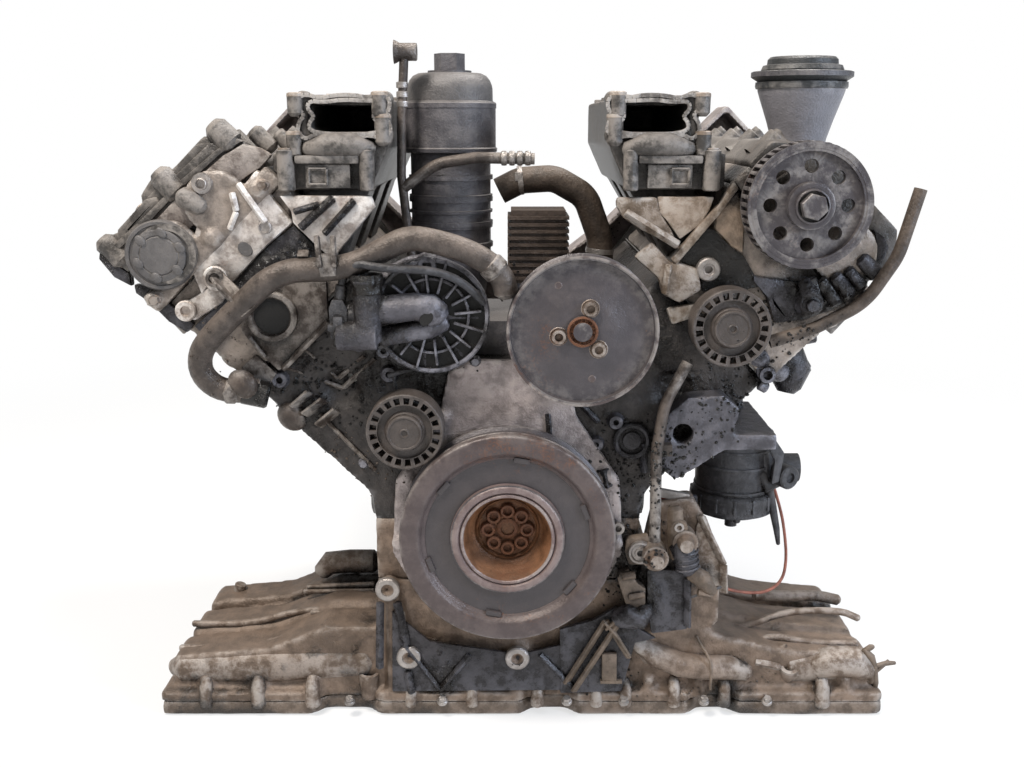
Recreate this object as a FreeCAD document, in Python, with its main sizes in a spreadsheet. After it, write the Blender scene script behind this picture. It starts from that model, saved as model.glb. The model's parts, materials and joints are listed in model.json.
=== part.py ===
import FreeCAD, Part
import math
import os
import re
import Sketcher

# A 90 degree V6 diesel engine with its belt and ancillaries taken off, seen from the pulley end.
# Frame: millimetres, +Z up, +X to the right seen from the pulley end, which faces -Y.
# The origin is on the crank axis at the rear face of the crankshaft flange.
# Names that end in _front or _rear are distances forward of that face.
# A size in quotes follows from the sizes above it.

SIZES = {
    # Crank drive and cylinders
    "bore": 83,
    "stroke": 91.4,
    "rod_length": 160,
    "crown_height": 48.5,
    "cylinder_gap": 90,
    "bank_offset": 18,
    "half_angle": 45,
    "pin_split": 30,
    "timing_rear": 16,
    "timing_depth": 50,
    "timing_front": "timing_rear + timing_depth",
    "timing_gap": 4,
    "block_rear": "timing_front + timing_gap",
    "rear_wall": 32.5,
    "first_bore": "block_rear + rear_wall + bore / 2 + 2 * cylinder_gap",
    "main_radius": 32.5,
    "pin_radius": 30,
    "running_gap": 0.05,
    "seat_gap": 0.3,
    "web_thickness": 15,
    "counterweight_radius": 82,
    "bulkhead": 22,
    "skirt_length": 19.5,
    "piston_pin_radius": 14,
    "crown_thickness": 12,
    "piston_wall": 7,
    # Block and lower castings
    "front_wall": 19.5,
    "block_front": "first_bore + bore / 2 + front_wall",
    "deck_clearance": 0.8,
    "deck": "stroke / 2 + rod_length + crown_height + deck_clearance",
    "gasket": 1.2,
    "head_outer": 70,
    "head_inner": 64,
    "crankcase_half": 122,
    "skirt_half": 179,
    "skirt_top": 76,
    "valley_half": 58,
    "valley_floor": 150,
    "crankcase_radius": 90,
    "frame_depth": 60,
    "flange_plate": 12,
    "rim": 6,
    "rib": 6,
    "core_plug": 17,
    "sump_notch": 12,
    "sump_front": "block_front + sump_notch",
    "sump_depth": 120,
    "sump_joint": "frame_depth + sump_depth",
    "pan_depth": 14,
    "sump_bottom": "sump_joint + pan_depth",
    "sump_flange": 10,
    "sump_corner": 5,
    "sump_wall": 6,
    "sump_left": 330,
    "sump_right": 357,
    "sump_lobe_left": 185,
    "sump_lobe_middle": 66,
    "sump_lobe_right": 195,
    "wing_length": 160,
    "wing_rear": "block_front - wing_length",
    "wing_height": 42,
    "wing_top": "sump_joint - wing_height",
    "ridge_gap": 50,
    "ridge_step": 5,
    "ridge_rise": 30,
    "ridge_groove": 7,
    "ridge_corner": 8,
    "dome_radius": 6.5,
    "dome_height": 22,
    "eye_radius": 9.5,
    "tower_right": 199,
    "pump_depth": 128,
    "pump_shaft": 7,
    "rotor_radius": 24,
    "rotor_teeth": 10,
    "rotor_addendum": 2,
    "rotor_width": 18,
    "lead_radius": 1.5,
    # Heads, cam frames and covers, measured along the bore axis from the crank axis
    "head_tall": 97,
    "head_top": "deck + head_tall",
    "frame_tall": 19,
    "frame_top": "head_top + frame_tall",
    "cam_rise": 9,
    "cam_height": "frame_top + cam_rise",
    "cam_half_gap": 30,
    "bridge_tall": 25,
    "bridge_top": "frame_top + bridge_tall",
    "cover_tall": 55,
    "cover_top": "frame_top + cover_tall",
    "cover_wall": 4,
    "cover_outer": 67,
    "cover_inner": 83,
    "head_overhang": 7,
    "head_front": "block_front + head_overhang",
    "head_rear": "block_rear",
    "frame_overhang": 10,
    "frame_front": "head_front + frame_overhang",
    "cam_boss": 27.5,
    "cover_corner": 5,
    "cover_boss": 7,
    "cover_rear": "block_rear",
    "cam_radius": 12,
    "journal_radius": 14,
    "lobe_radius": 20,
    "gear_teeth": 24,
    "gear_addendum": 1.3,
    "gear_width": 8,
    "gear_inset": 18,
    "valve_half_gap": 17,
    "valve_stem": 3,
    "valve_head": 14,
    # Timing drive at the flywheel end
    "timing_wall": 5,
    "chain_width": 8,
    "chain_height": 7,
    "crank_sprocket": 22,
    "flange_radius": 52,
    "flange_bolt_circle": 39,
    "flange_bolt_radius": 5,
    "seal_gap": 0.1,
    "balance_height": 118,
    "balance_radius": 17,
    # Front drive
    "drive_reach": 52,
    "damper_front": "block_front + drive_reach",
    "damper_radius": 95,
    "damper_width": 34,
    "nose_length": 12,
    "damper_seat": "block_front + nose_length",
    "ring_inner": 79,
    "ring_recess": 6,
    "collar_outer": 50,
    "collar_inner": 44,
    "hub_disc": 28,
    "hub_thickness": 10,
    "damper_bolt_circle": 17.5,
    "damper_bolt_radius": 4,
    "bolt_head": 6.5,
    "groove_depth": 3,
    "pump_x": 63.4,
    "pump_z": 185,
    "pump_pulley_radius": 64,
    "pump_pulley_front": "damper_front",
    "pump_hub_radius": 13.5,
    "pump_bolt_circle": 20.5,
    "idler_left_x": -88.7,
    "idler_left_z": 96,
    "idler_right_x": 189.7,
    "idler_right_z": 187,
    "idler_radius": 33.6,
    "idler_inset": 7,
    "idler_front": "damper_front - idler_inset",
    "idler_width": 24,
    "belt_pulley_radius": 51.5,
    "belt_pulley_front": "damper_front",
    "belt_pulley_width": 30,
    "belt_pulley_hole": 5.8,
    "belt_pulley_circle": 32,
    # Front castings, pipes and filter, by where they stand
    "front_plate": 9,
    "coolant_x": -72,
    "coolant_z": 193,
    "coolant_radius": 52,
    "coolant_dome": 40,
    "coolant_reach": 25,
    "coolant_front": "block_front + coolant_reach",
    "coolant_pipe_radius": 11.5,
    "pipe_wall": 2,
    "pipe_bend": 40,
    "thermostat_x": -118,
    "stub_reach": 16,
    "thermostat_y": "-(coolant_front + stub_reach)",
    "stub_radius": 12,
    "stub_tall": 39,
    "stub_top": "coolant_z + stub_tall",
    "filter_x": -53,
    "filter_y": -300,
    "filter_radius": 37,
    "filter_collar": 42,
    "filter_foot": 54,
    "filter_base": "module_top + filter_foot",
    "filter_tall": 95,
    "filter_collar_low": "filter_base + filter_tall",
    "collar_tall": 42,
    "filter_rim": "filter_collar_low + collar_tall",
    "filter_cap_radius": 36,
    "filter_cap_tall": 26,
    "filter_cap_top": "filter_rim + filter_cap_tall",
    "filter_hex": 14,
    "filter_hex_tall": 19,
    "filter_top": "filter_cap_top + filter_hex_tall",
    "filter_wall": 5,
    "module_tall": 31,
    "module_top": "valley_floor + module_tall",
    "module_inset": 25,
    "module_front": "block_front - module_inset",
    "module_rear": 230,
    "cooler_left": 0,
    "cooler_right": 55,
    "cooler_foot": 34,
    "cooler_low": "module_top + cooler_foot",
    "cooler_tall": 65,
    "cooler_top": "cooler_low + cooler_tall",
    "cooler_front": "module_front - 2",
    "cooler_depth": 54,
    "cooler_rear": "cooler_front - cooler_depth",
    "filler_x": 259,
    "filler_y": -339,
    "filler_low": 330,
    "filler_tall": 65,
    "filler_flange_z": "filler_low + filler_tall",
    "filler_flange": 44,
    "filler_cap_radius": 30,
    "filler_cap_tall": 17,
    "filler_top": "filler_flange_z + filler_cap_tall",
    "mount_x": 222,
    "mount_y": -310,
    "mount_radius": 37,
    "mount_low": -16,
    "mount_tall": 86,
    "mount_top": "mount_low + mount_tall",
    "mount_stud": 6,
    "bracket_hole": 9,
    "bracket_hole_x": 155,
    "bracket_hole_z": 89,
    "arm_thickness": 14,
    # Inlet manifolds
    "port_outer_left": 171,
    "port_inner_left": 101,
    "port_outer_right": 157,
    "port_inner_right": 87,
    "plenum_low": 300,
    "port_rise": 43,
    "port_low": "plenum_low + port_rise",
    "port_tall": 35,
    "port_top": "port_low + port_tall",
    "port_overhang": 8,
    "port_front": "head_front + port_overhang",
    "port_wall": 5.5,
    "plenum_flank": 28,
    "plenum_inset": 40,
    "plenum_rear": "block_rear + plenum_inset",
}

# The lead hangs free, so its route is a list of points chosen by hand.
LEAD_ROUTE = [
    (258, -326, 14),
    (266, -330, -10),
    (270, -336, -34),
    (271, -344, -57),
    (266, -353, -75),
    (250, -360, -84),
    (230, -364, -83),
    (212, -368, -78),
    (199.5, -372, -72),
]

doc = FreeCAD.newDocument("engine")
sheet = doc.addObject("Spreadsheet::Sheet", "sizes")
for row, (size_name, size_value) in enumerate(SIZES.items(), start=1):
    sheet.set(f"A{row}", size_name)
    sheet.set(f"B{row}", f"={size_value}" if isinstance(size_value, str) else str(size_value))
    sheet.setAlias(f"B{row}", size_name)
doc.recompute()

NODES = []
WORD = re.compile(r"[a-z][a-z_0-9]*")


def linked(text):
    """The expression text with every size name pointed at its cell."""
    return WORD.sub(lambda hit: f"sizes.{hit[0]}" if hit[0] in SIZES else hit[0], str(text))


def value(text):
    return float(sheet.evalExpression(linked(text)))


def bind(thing, **fields):
    for field, text in fields.items():
        thing.setExpression(field.replace("_at_", "."), linked(text))


def place(thing, x="0", y="0", z="0"):
    bind(thing, Placement_at_Base_at_x=x, Placement_at_Base_at_y=y, Placement_at_Base_at_z=z)
    return thing


def turn(thing, axis, angle):
    """Turns a piece about a line through its own origin, before it is placed."""
    thing.Placement = FreeCAD.Placement(FreeCAD.Vector(), FreeCAD.Rotation(FreeCAD.Vector(*axis), angle))
    return thing


def box(x, y, z):
    """A block between two expressions on each axis."""
    block = doc.addObject("Part::Box", "box")
    bind(block, Length=f"({x[1]}) - ({x[0]})", Width=f"({y[1]}) - ({y[0]})",
        Height=f"({z[1]}) - ({z[0]})")
    return place(block, x[0], y[0], z[0])


TURN_TO = {"x": ((0, 1, 0), 90), "y": ((1, 0, 0), -90), "z": ((0, 0, 1), 0)}


def rod(axis, radius, start, end, at):
    """A cylinder along an axis, from start to end, at the two other coordinates in x, y, z order."""
    body = doc.addObject("Part::Cylinder", "rod")
    bind(body, Radius=radius, Height=f"({end}) - ({start})")
    turn(body, *TURN_TO[axis])
    spot = list(at)
    spot.insert("xyz".index(axis), start)
    return place(body, *spot)


def cone(axis, radius_start, radius_end, start, end, at):
    body = doc.addObject("Part::Cone", "cone")
    bind(body, Radius1=radius_start, Radius2=radius_end, Height=f"({end}) - ({start})")
    turn(body, *TURN_TO[axis])
    spot = list(at)
    spot.insert("xyz".index(axis), start)
    return place(body, *spot)


def fuse(*pieces):
    joined = doc.addObject("Part::MultiFuse", "fuse")
    joined.Shapes = list(pieces)
    return joined


def group(*pieces):
    """Separate solids kept in one node."""
    bundle = doc.addObject("Part::Compound", "group")
    bundle.Links = list(pieces)
    return bundle


def cut(base, *tools):
    result = doc.addObject("Part::Cut", "cut")
    result.Base = base
    result.Tool = tools[0] if len(tools) == 1 else group(*tools)
    return result


def plane_of(body, role):
    return next(feature for feature in body.Origin.OriginFeatures if feature.Role == role)


def sketch_on(body, role, name):
    sketch = body.newObject("Sketcher::SketchObject", name)
    sketch.AttachmentSupport = [(plane_of(body, role), "")]
    sketch.MapMode = "FlatFace"
    return sketch


def fix(sketch, kind, geometry, point, text):
    index = sketch.addConstraint(Sketcher.Constraint(kind, -1, 1, geometry, point, value(text)))
    sketch.setExpression(f"Constraints[{index}]", linked(text))


def outline(sketch, points):
    """A closed outline through points that are pairs of expressions."""
    spots = [FreeCAD.Vector(value(across), value(up), 0) for across, up in points]
    count = len(points)
    for index, spot in enumerate(spots):
        sketch.addGeometry(Part.LineSegment(spot, spots[(index + 1) % count]), False)
    for index, (across, up) in enumerate(points):
        sketch.addConstraint(Sketcher.Constraint("Coincident", index, 2, (index + 1) % count, 1))
        fix(sketch, "DistanceX", index, 1, across)
        fix(sketch, "DistanceY", index, 1, up)


def turned(points, x="0", z="0"):
    """A body turned about a line along Y, from (radius, y) points."""
    body = doc.addObject("PartDesign::Body", "turned")
    sketch = sketch_on(body, "XY_Plane", "profile")
    outline(sketch, points)
    solid = body.newObject("PartDesign::Revolution", "revolve")
    solid.Profile = sketch
    solid.ReferenceAxis = (sketch, ["V_Axis"])
    solid.Angle = 360
    doc.recompute()
    return place(body, x, "0", z)


def drill_ring(body, circle, radius, count):
    """Holes through a turned body, evenly spaced on a circle about its axis."""
    sketch = sketch_on(body, "XZ_Plane", "hole")
    hole = sketch.addGeometry(Part.Circle(FreeCAD.Vector(value(circle), 0, 0), FreeCAD.Vector(0, 0, 1),
        value(radius)))
    fix(sketch, "DistanceX", hole, 3, circle)
    fix(sketch, "DistanceY", hole, 3, "0")
    index = sketch.addConstraint(Sketcher.Constraint("Radius", hole, value(radius)))
    sketch.setExpression(f"Constraints[{index}]", linked(radius))
    pocket = body.newObject("PartDesign::Pocket", "drill")
    pocket.Profile = sketch
    pocket.Type = 1
    pocket.Midplane = True
    doc.recompute()
    ring = body.newObject("PartDesign::PolarPattern", "ring")
    ring.Originals = [pocket]
    ring.Axis = (plane_of(body, "Y_Axis"), [""])
    ring.Angle = 360
    ring.Occurrences = count
    body.Tip = ring
    doc.recompute()
    return body


def prism(points, start, end, corner=None):
    """An outline of (x, z) points, padded along Y from start to end, with its long edges rounded."""
    body = doc.addObject("PartDesign::Body", "prism")
    sketch = sketch_on(body, "XZ_Plane", "profile")
    outline(sketch, points)
    pad = body.newObject("PartDesign::Pad", "pad")
    pad.Profile = sketch
    bind(pad, Length=f"({end}) - ({start})")
    doc.recompute()
    if corner:
        round_long_edges(body, pad, corner, FreeCAD.Vector(0, 1, 0))
    return place(body, "0", end, "0")


def slab(points, bottom, top, corner=None):
    """An outline of (x, y) points, padded up Z from bottom to top, with its upright edges rounded."""
    body = doc.addObject("PartDesign::Body", "slab")
    sketch = sketch_on(body, "XY_Plane", "profile")
    outline(sketch, points)
    pad = body.newObject("PartDesign::Pad", "pad")
    pad.Profile = sketch
    bind(pad, Length=f"({top}) - ({bottom})")
    doc.recompute()
    if corner:
        round_long_edges(body, pad, corner, FreeCAD.Vector(0, 0, 1))
    return place(body, "0", "0", bottom)


def round_long_edges(body, feature, radius, along):
    names = []
    for index, edge in enumerate(feature.Shape.Edges, start=1):
        ends = [vertex.Point for vertex in edge.Vertexes]
        if len(ends) == 2 and abs((ends[1] - ends[0]).normalize().dot(along)) > 0.999:
            names.append(f"Edge{index}")
    fillet = body.newObject("PartDesign::Fillet", "round")
    fillet.Base = (feature, names)
    bind(fillet, Radius=radius)
    doc.recompute()


def tube(points, radius, bend, inner=None):
    """A pipe along straight runs joined by tangent arcs, as large as bend or as the runs allow."""
    spots = [FreeCAD.Vector(*(value(part) for part in point)) for point in points]
    wire, bends = route(spots, value(bend))
    solid = swept(wire, spots, value(radius))
    if inner:
        solid = solid.cut(swept(wire, spots, value(inner)))
    body = doc.addObject("Part::Feature", "tube")
    body.Shape = solid
    return body


def route(spots, bend):
    """The wire through the points, and the radius of the arc at each inner one."""
    edges = []
    radii = []
    start = spots[0]
    for before, corner, after in zip(spots, spots[1:], spots[2:]):
        come = (corner - before).normalize()
        go = (after - corner).normalize()
        half = come.getAngle(go) / 2
        shorter = min((corner - before).Length, (after - corner).Length)
        radius = min(bend, 0.45 * shorter / math.tan(half))
        reach = radius * math.tan(half)
        first = corner - come * reach
        last = corner + go * reach
        middle = corner + (go - come).normalize() * (radius / math.cos(half) - radius)
        edges.append(Part.LineSegment(start, first).toShape())
        edges.append(Part.Arc(first, middle, last).toShape())
        radii.append(radius)
        start = last
    edges.append(Part.LineSegment(start, spots[-1]).toShape())
    return Part.Wire(edges), radii


def swept(wire, spots, radius):
    circle = Part.makeCircle(radius, spots[0], spots[1] - spots[0])
    return wire.makePipeShell([Part.Wire(circle)], True, False)


def node(name, thing, bank=None):
    """Names a sub-part, turns it onto its bank if it has one, and keeps it for export."""
    thing.Label = name
    if bank:
        turn(thing, (0, 1, 0), bank * SIZES["half_angle"])
    NODES.append(thing)
    return thing


def mirrored(points):
    """A half outline on +X, given from the bottom up, and its mirror image."""
    return points + [(f"-({across})", up) for across, up in reversed(points)]


def cylinder_y(bank, number):
    """The Y of a bore's centre line, counted from the pulley end: bank -1 is left, 1 is right."""
    return f"-(first_bore - {bank} * bank_offset / 2 - {number} * cylinder_gap)"


def engine_block():
    deck_outer = ("(deck + head_outer) * sin(half_angle)", "(deck - head_outer) * cos(half_angle)")
    deck_inner = ("(deck - head_inner) * sin(half_angle)", "(deck + head_inner) * cos(half_angle)")
    half = [
        ("crankcase_half", "0"),
        ("crankcase_half + 4", "skirt_top / 3"),
        ("skirt_half", "skirt_top"),
        deck_outer,
        deck_inner,
        ("valley_half", "valley_floor"),
    ]
    body = prism(mirrored(half), "-block_front", "-block_rear")
    rim = prism(mirrored([
        ("crankcase_half + rim", "0"),
        ("crankcase_half + rim", "skirt_top / 3"),
        ("skirt_half + rim", "skirt_top"),
        ("skirt_half - rim", "skirt_top + 2 * rim"),
    ]), "-block_rear - flange_plate", "-block_rear")
    ribs = [
        box((f"{side} * crankcase_half - rim", f"{side} * crankcase_half + rim"),
            (f"-(first_bore - ({number}) * cylinder_gap) - rib / 2",
                f"-(first_bore - ({number}) * cylinder_gap) + rib / 2"),
            ("0", "skirt_top / 2"))
        for side in (-1, 1) for number in (-0.5, 0.5, 1.5)
    ]
    tools = [rod("y", "balance_radius + 1", "-block_front - 1", "-block_rear + 1",
        ("0", "balance_height")),
             rod("y", "main_radius + running_gap", "-block_front - 1", "-block_rear + 1", ("0", "0"))]
    for number in range(3):
        middle = f"-(first_bore - {number} * cylinder_gap)"
        length = "(cylinder_gap - bulkhead) / 2"
        tools.append(rod("y", "crankcase_radius", f"{middle} - {length}", f"{middle} + {length}",
            ("0", "0")))
        for bank in (-1, 1):
            tools.append(leaning(rod("z", "bore / 2", "crankcase_radius / 2", "deck + 5",
                                     ("0", cylinder_y(bank, number))), bank))
    for bank in (-1, 1):
        tools.append(leaning(rod("y", "core_plug", "-block_front - 1", "-block_front + 8",
                                 (f"{bank} * core_plug", "deck - bore * 0.75")), bank))
    node("engine_block", cut(fuse(body, rim, *ribs), *tools))


def leaning(thing, bank):
    """Leans a piece from the upright frame of a bank onto the bank itself."""
    holder = doc.addObject("Part::Compound", "leaning")
    holder.Links = [thing]
    return lean(holder, bank)


def lean(thing, bank):
    turn(thing, (0, 1, 0), bank * value("half_angle"))
    thing.setExpression("Placement.Rotation.Angle", linked(f"{bank} * half_angle"))
    return thing


def main_bearing_frame():
    plate = box(("-crankcase_half", "crankcase_half"), ("-block_front", "-block_rear"),
        ("-frame_depth", "0"))
    tools = [rod("y", "main_radius + running_gap", "-block_front - 1", "-block_rear + 1", ("0", "0"))]
    for number in range(3):
        middle = f"-(first_bore - {number} * cylinder_gap)"
        length = "(cylinder_gap - bulkhead) / 2"
        tools.append(box(("-crankcase_radius", "crankcase_radius"), (f"{middle} - {length}",
            f"{middle} + {length}"),
                         ("-frame_depth - 1", "1")))
    node("main_bearing_frame", cut(plate, *tools))


def sump_edge(grow="0"):
    """The scalloped edge of the sump joint in plan, from its rear left corner round the front."""
    front = f"-sump_front - {grow}"
    notch = f"-sump_front + sump_notch - {grow}"
    left = f"-sump_left - {grow}"
    right = f"sump_right + {grow}"
    back = f"-wing_rear + {grow}"
    rear = f"-block_rear + {grow}"
    return [
        (left, back), (left, front),
        ("-sump_lobe_left", front), ("-sump_lobe_left + sump_notch", notch),
        ("-crankcase_half - sump_notch", notch), ("-crankcase_half", front),
        ("sump_notch", front), ("2 * sump_notch", notch),
        ("sump_lobe_middle - sump_notch", notch), ("sump_lobe_middle", front),
        ("sump_lobe_right - 2 * sump_notch", front), ("sump_lobe_right - sump_notch", notch),
        ("sump_lobe_right + sump_notch", notch), ("sump_lobe_right + 2 * sump_notch", front),
        (right, front), (right, back),
        (f"crankcase_half + {grow}", back), (f"crankcase_half + {grow}", rear),
        (f"-crankcase_half - {grow}", rear), (f"-crankcase_half - {grow}", back),
    ]


def upper_sump():
    flange = slab(sump_edge(), "-sump_joint", "-sump_joint + sump_flange", "sump_corner")
    middle = box(("-crankcase_half", "crankcase_half"), ("-sump_front + sump_notch", "-block_rear"),
                 ("-sump_joint", "-frame_depth"))
    wings = []
    for side, reach in ((-1, "sump_left"), (1, "sump_right")):
        for ridge in range(3):
            front = f"-sump_front + {ridge} * ridge_gap + sump_flange"
            top = f"-wing_top + {ridge} * ridge_step"
            wing = prism([
                (f"{side} * (crankcase_half - 2)", "-sump_joint + 1"),
                (f"{side} * ({reach} - sump_flange - {ridge} * ridge_step)", "-sump_joint + 1"),
                (f"{side} * ({reach} - sump_flange - {ridge} * ridge_step)", top),
                (f"{side} * ({reach} - ridge_gap * 2)", f"{top} + ridge_rise / 4"),
                (f"{side} * (crankcase_half + ridge_gap)", f"{top} + ridge_rise"),
                (f"{side} * (crankcase_half - 2)", f"{top} + ridge_rise"),
            ], front, f"{front} + ridge_gap - ridge_groove", "ridge_corner")
            wings.append(wing)
        wings.append(prism([
            (f"{side} * (crankcase_half - 2)", "-sump_joint + 1"),
            (f"{side} * ({reach} - 2 * sump_flange)", "-sump_joint + 1"),
            (f"{side} * ({reach} - 2 * sump_flange)", "-wing_top - ridge_step"),
            (f"{side} * (crankcase_half - 2)", "-wing_top + ridge_rise - ridge_step"),
        ], "-sump_front + 2 * sump_flange", "-wing_rear"))
    domes = []
    for x in ("-sump_left + 42", "-sump_left + 92", "-sump_lobe_left", "-92", "-34", "28", "84", "134",
        "182", "sump_right - 36"):
        at = (x, "-sump_front + dome_radius + 2")
        domes.append(rod("z", "dome_radius", "-sump_joint + 1", "-sump_joint + dome_height", at))
        domes.append(cone("z", "dome_radius", "dome_radius / 2", "-sump_joint + dome_height",
            "-sump_joint + dome_height + 4", at))
    eyes = []
    for x, z in (("-111", "-63.5"), ("-93", "-132"), ("9", "-133")):
        eyes.append(rod("y", "eye_radius", "-sump_front - 5", "-block_front - seat_gap / 3", (x, z)))
    struts = [
        box(("-115", "-105"), ("-sump_front + 3", "-sump_front + sump_notch + 1"),
            ("-sump_joint + 1", "-frame_depth")),
        box(("-97", "-89"), ("-sump_front + 3", "-sump_front + sump_notch + 1"),
            ("-sump_joint + 1", "-132")),
        box(("5", "13"), ("-sump_front + 3", "-sump_front + sump_notch + 1"),
            ("-sump_joint + 1", "-133")),
        prism([("-111", "-72"), ("-104", "-60"), ("-84", "-132"), ("-93", "-138")], "-sump_front + 3",
            "-sump_front + sump_notch + 1"),
    ]
    tower = prism([("crankcase_half + seat_gap", "-frame_depth - 52"),
        ("tower_right", "-frame_depth - 46"), ("tower_right", "-frame_depth + 4"),
                   ("tower_right - 14", "-4"), ("tower_right - 28",
                       "22"), ("crankcase_half + seat_gap + 14", "16"),
                   ("crankcase_half + seat_gap", "-frame_depth + 4")],
                  "-block_front - seat_gap", "-block_front + 26", "4")
    lip = box(("crankcase_half - 2", "crankcase_half + 20"), ("-block_front", "-block_rear"),
        ("-frame_depth - 20", "-frame_depth"))
    hollow = box(("-crankcase_half + sump_wall", "crankcase_half - sump_wall"),
                 ("-sump_front + sump_notch + sump_wall", "-block_rear - sump_wall"), ("-sump_joint - 1",
                     "-frame_depth + 1"))
    eye_holes = [rod("y", "eye_radius / 2", "-sump_front - 6", "-sump_front + 2", (x, z))
                 for x, z in (("-111", "-63.5"), ("-93", "-132"), ("9", "-133"))]
    node("upper_sump", cut(fuse(flange, middle, *wings, *domes, *struts, *eyes, tower, lip), hollow,
        *eye_holes))


def lower_sump():
    tray = slab(sump_edge(), "-sump_bottom", "-sump_joint", "sump_corner")
    hollow = box(("-crankcase_half + sump_wall", "crankcase_half - sump_wall"),
                 ("-sump_front + sump_notch + sump_wall", "-block_rear - sump_wall"),
                 ("-sump_bottom + sump_wall", "-sump_joint + 1"))
    node("lower_sump", cut(tray, hollow))


def head_gaskets():
    pair = []
    for bank in (-1, 1):
        sheet_metal = bank_box(bank, "head_inner", "head_outer", ("-block_front", "-block_rear"),
            ("deck", "deck + gasket"))
        holes = [rod("z", "bore / 2 + 1", "deck - 1", "deck + gasket + 1",
            ("0", cylinder_y(bank, number)))
                 for number in range(3)]
        pair.append(lean(cut(sheet_metal, *holes), bank))
    node("head_gaskets", group(*pair))


def bank_box(bank, inner, outer, y, z):
    """A block in a bank's upright frame, from inner towards the valley to outer on the exhaust side."""
    ends = (f"-({inner})", f"{outer}") if bank > 0 else (f"-({outer})", f"{inner}")
    return box(ends, y, z)


def cylinder_head(bank, name):
    body = prism([
        (f"{bank} * head_outer", "deck + gasket"),
        (f"{bank} * head_outer", "head_top - 30"),
        (f"{bank} * (head_outer + 6)", "head_top - 22"),
        (f"{bank} * (head_outer + 6)", "head_top"),
        (f"{-bank} * (cover_inner)", "head_top"),
        (f"{-bank} * (cover_inner)", "head_top - 10"),
        (f"{-bank} * head_inner", "head_top - 24"),
        (f"{-bank} * head_inner", "deck + gasket"),
    ], "-head_front", "-head_rear")
    tools = []
    for number in range(3):
        middle = cylinder_y(bank, number)
        for across in (-1, 1):
            for along in (-1, 1):
                at = (f"{across} * valve_half_gap", f"{middle} + {along} * valve_half_gap")
                tools.append(rod("z", "valve_stem + running_gap", "deck", "head_top + 1", at))
                tools.append(rod("z", "valve_head + seat_gap", "deck", "deck + gasket + 6", at))
    tools.append(box(("-2 * cam_half_gap - 2", "2 * cam_half_gap + 2"),
                     ("-frame_front + gear_inset - 1.5", "-frame_front + gear_inset + gear_width + 1.5"),
                     ("cam_height - cam_half_gap - 3", "head_top + 1")))
    node(name, lean(cut(body, *tools), bank))


def valves():
    banks = []
    for bank in (-1, 1):
        stems = []
        for number in range(3):
            middle = cylinder_y(bank, number)
            for across in (-1, 1):
                for along in (-1, 1):
                    at = (f"{across} * valve_half_gap", f"{middle} + {along} * valve_half_gap")
                    stem = rod("z", "valve_stem", "deck + gasket + 1", "cam_height - lobe_radius - 1", at)
                    disc = rod("z", "valve_head", "deck + gasket + 1", "deck + gasket + 4", at)
                    stems.append(fuse(stem, disc))
        banks.append(lean(group(*stems), bank))
    node("valves", group(*banks))


def bridge_y(bank, number):
    return f"({cylinder_y(bank, number)} - cylinder_gap / 2)"


def cam_frame(bank, name):
    outer_flange = bank_box(bank, "cover_inner", "head_outer + 6", ("-frame_front", "-cover_rear"),
        ("head_top", "frame_top"))
    well = bank_box(bank, "cover_inner - 14", "head_outer - 8", ("-head_front + 4", "-cover_rear - 10"),
                    ("head_top - 1", "frame_top + 1"))
    bridges = [box(("-cam_half_gap - 18", "cam_half_gap + 18"), (f"{bridge_y(bank, number)} - 6",
        f"{bridge_y(bank, number)} + 6"),
                   ("head_top", "bridge_top")) for number in (1, 2, 3)]
    bars = [bank_box(bank, "cover_inner - 12", "head_outer - 6", (f"{bridge_y(bank, number)} - 6",
        f"{bridge_y(bank, number)} + 6"),
                     ("head_top", "frame_top")) for number in (1, 2, 3)]
    bosses = [rod("y", "cam_boss", "-frame_front", "-frame_front + 12", (f"{across} * cam_half_gap",
        "cam_height"))
              for across in (-1, 1)]
    ladder = [rod("y", "6", "-frame_front - 4", "-frame_front + 12",
                  (f"{bank} * ({spot})",
                      "frame_top - 9")) for spot in ("head_outer", "-6", "-head_inner")]
    bores = [rod("y", "journal_radius + running_gap", "-frame_front + 6", "-head_rear + 1",
        (f"{across} * cam_half_gap", "cam_height"))
             for across in (-1, 1)]
    open_cam = -1 if bank > 0 else 1
    mouth = rod("y", "journal_radius + running_gap", "-frame_front - 5", "-head_rear + 1",
        (f"{bank * open_cam} * cam_half_gap", "cam_height"))
    node(name, lean(cut(fuse(cut(outer_flange, well), *bridges, *bars, *bosses, *ladder), *bores, mouth),
        bank))


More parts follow.
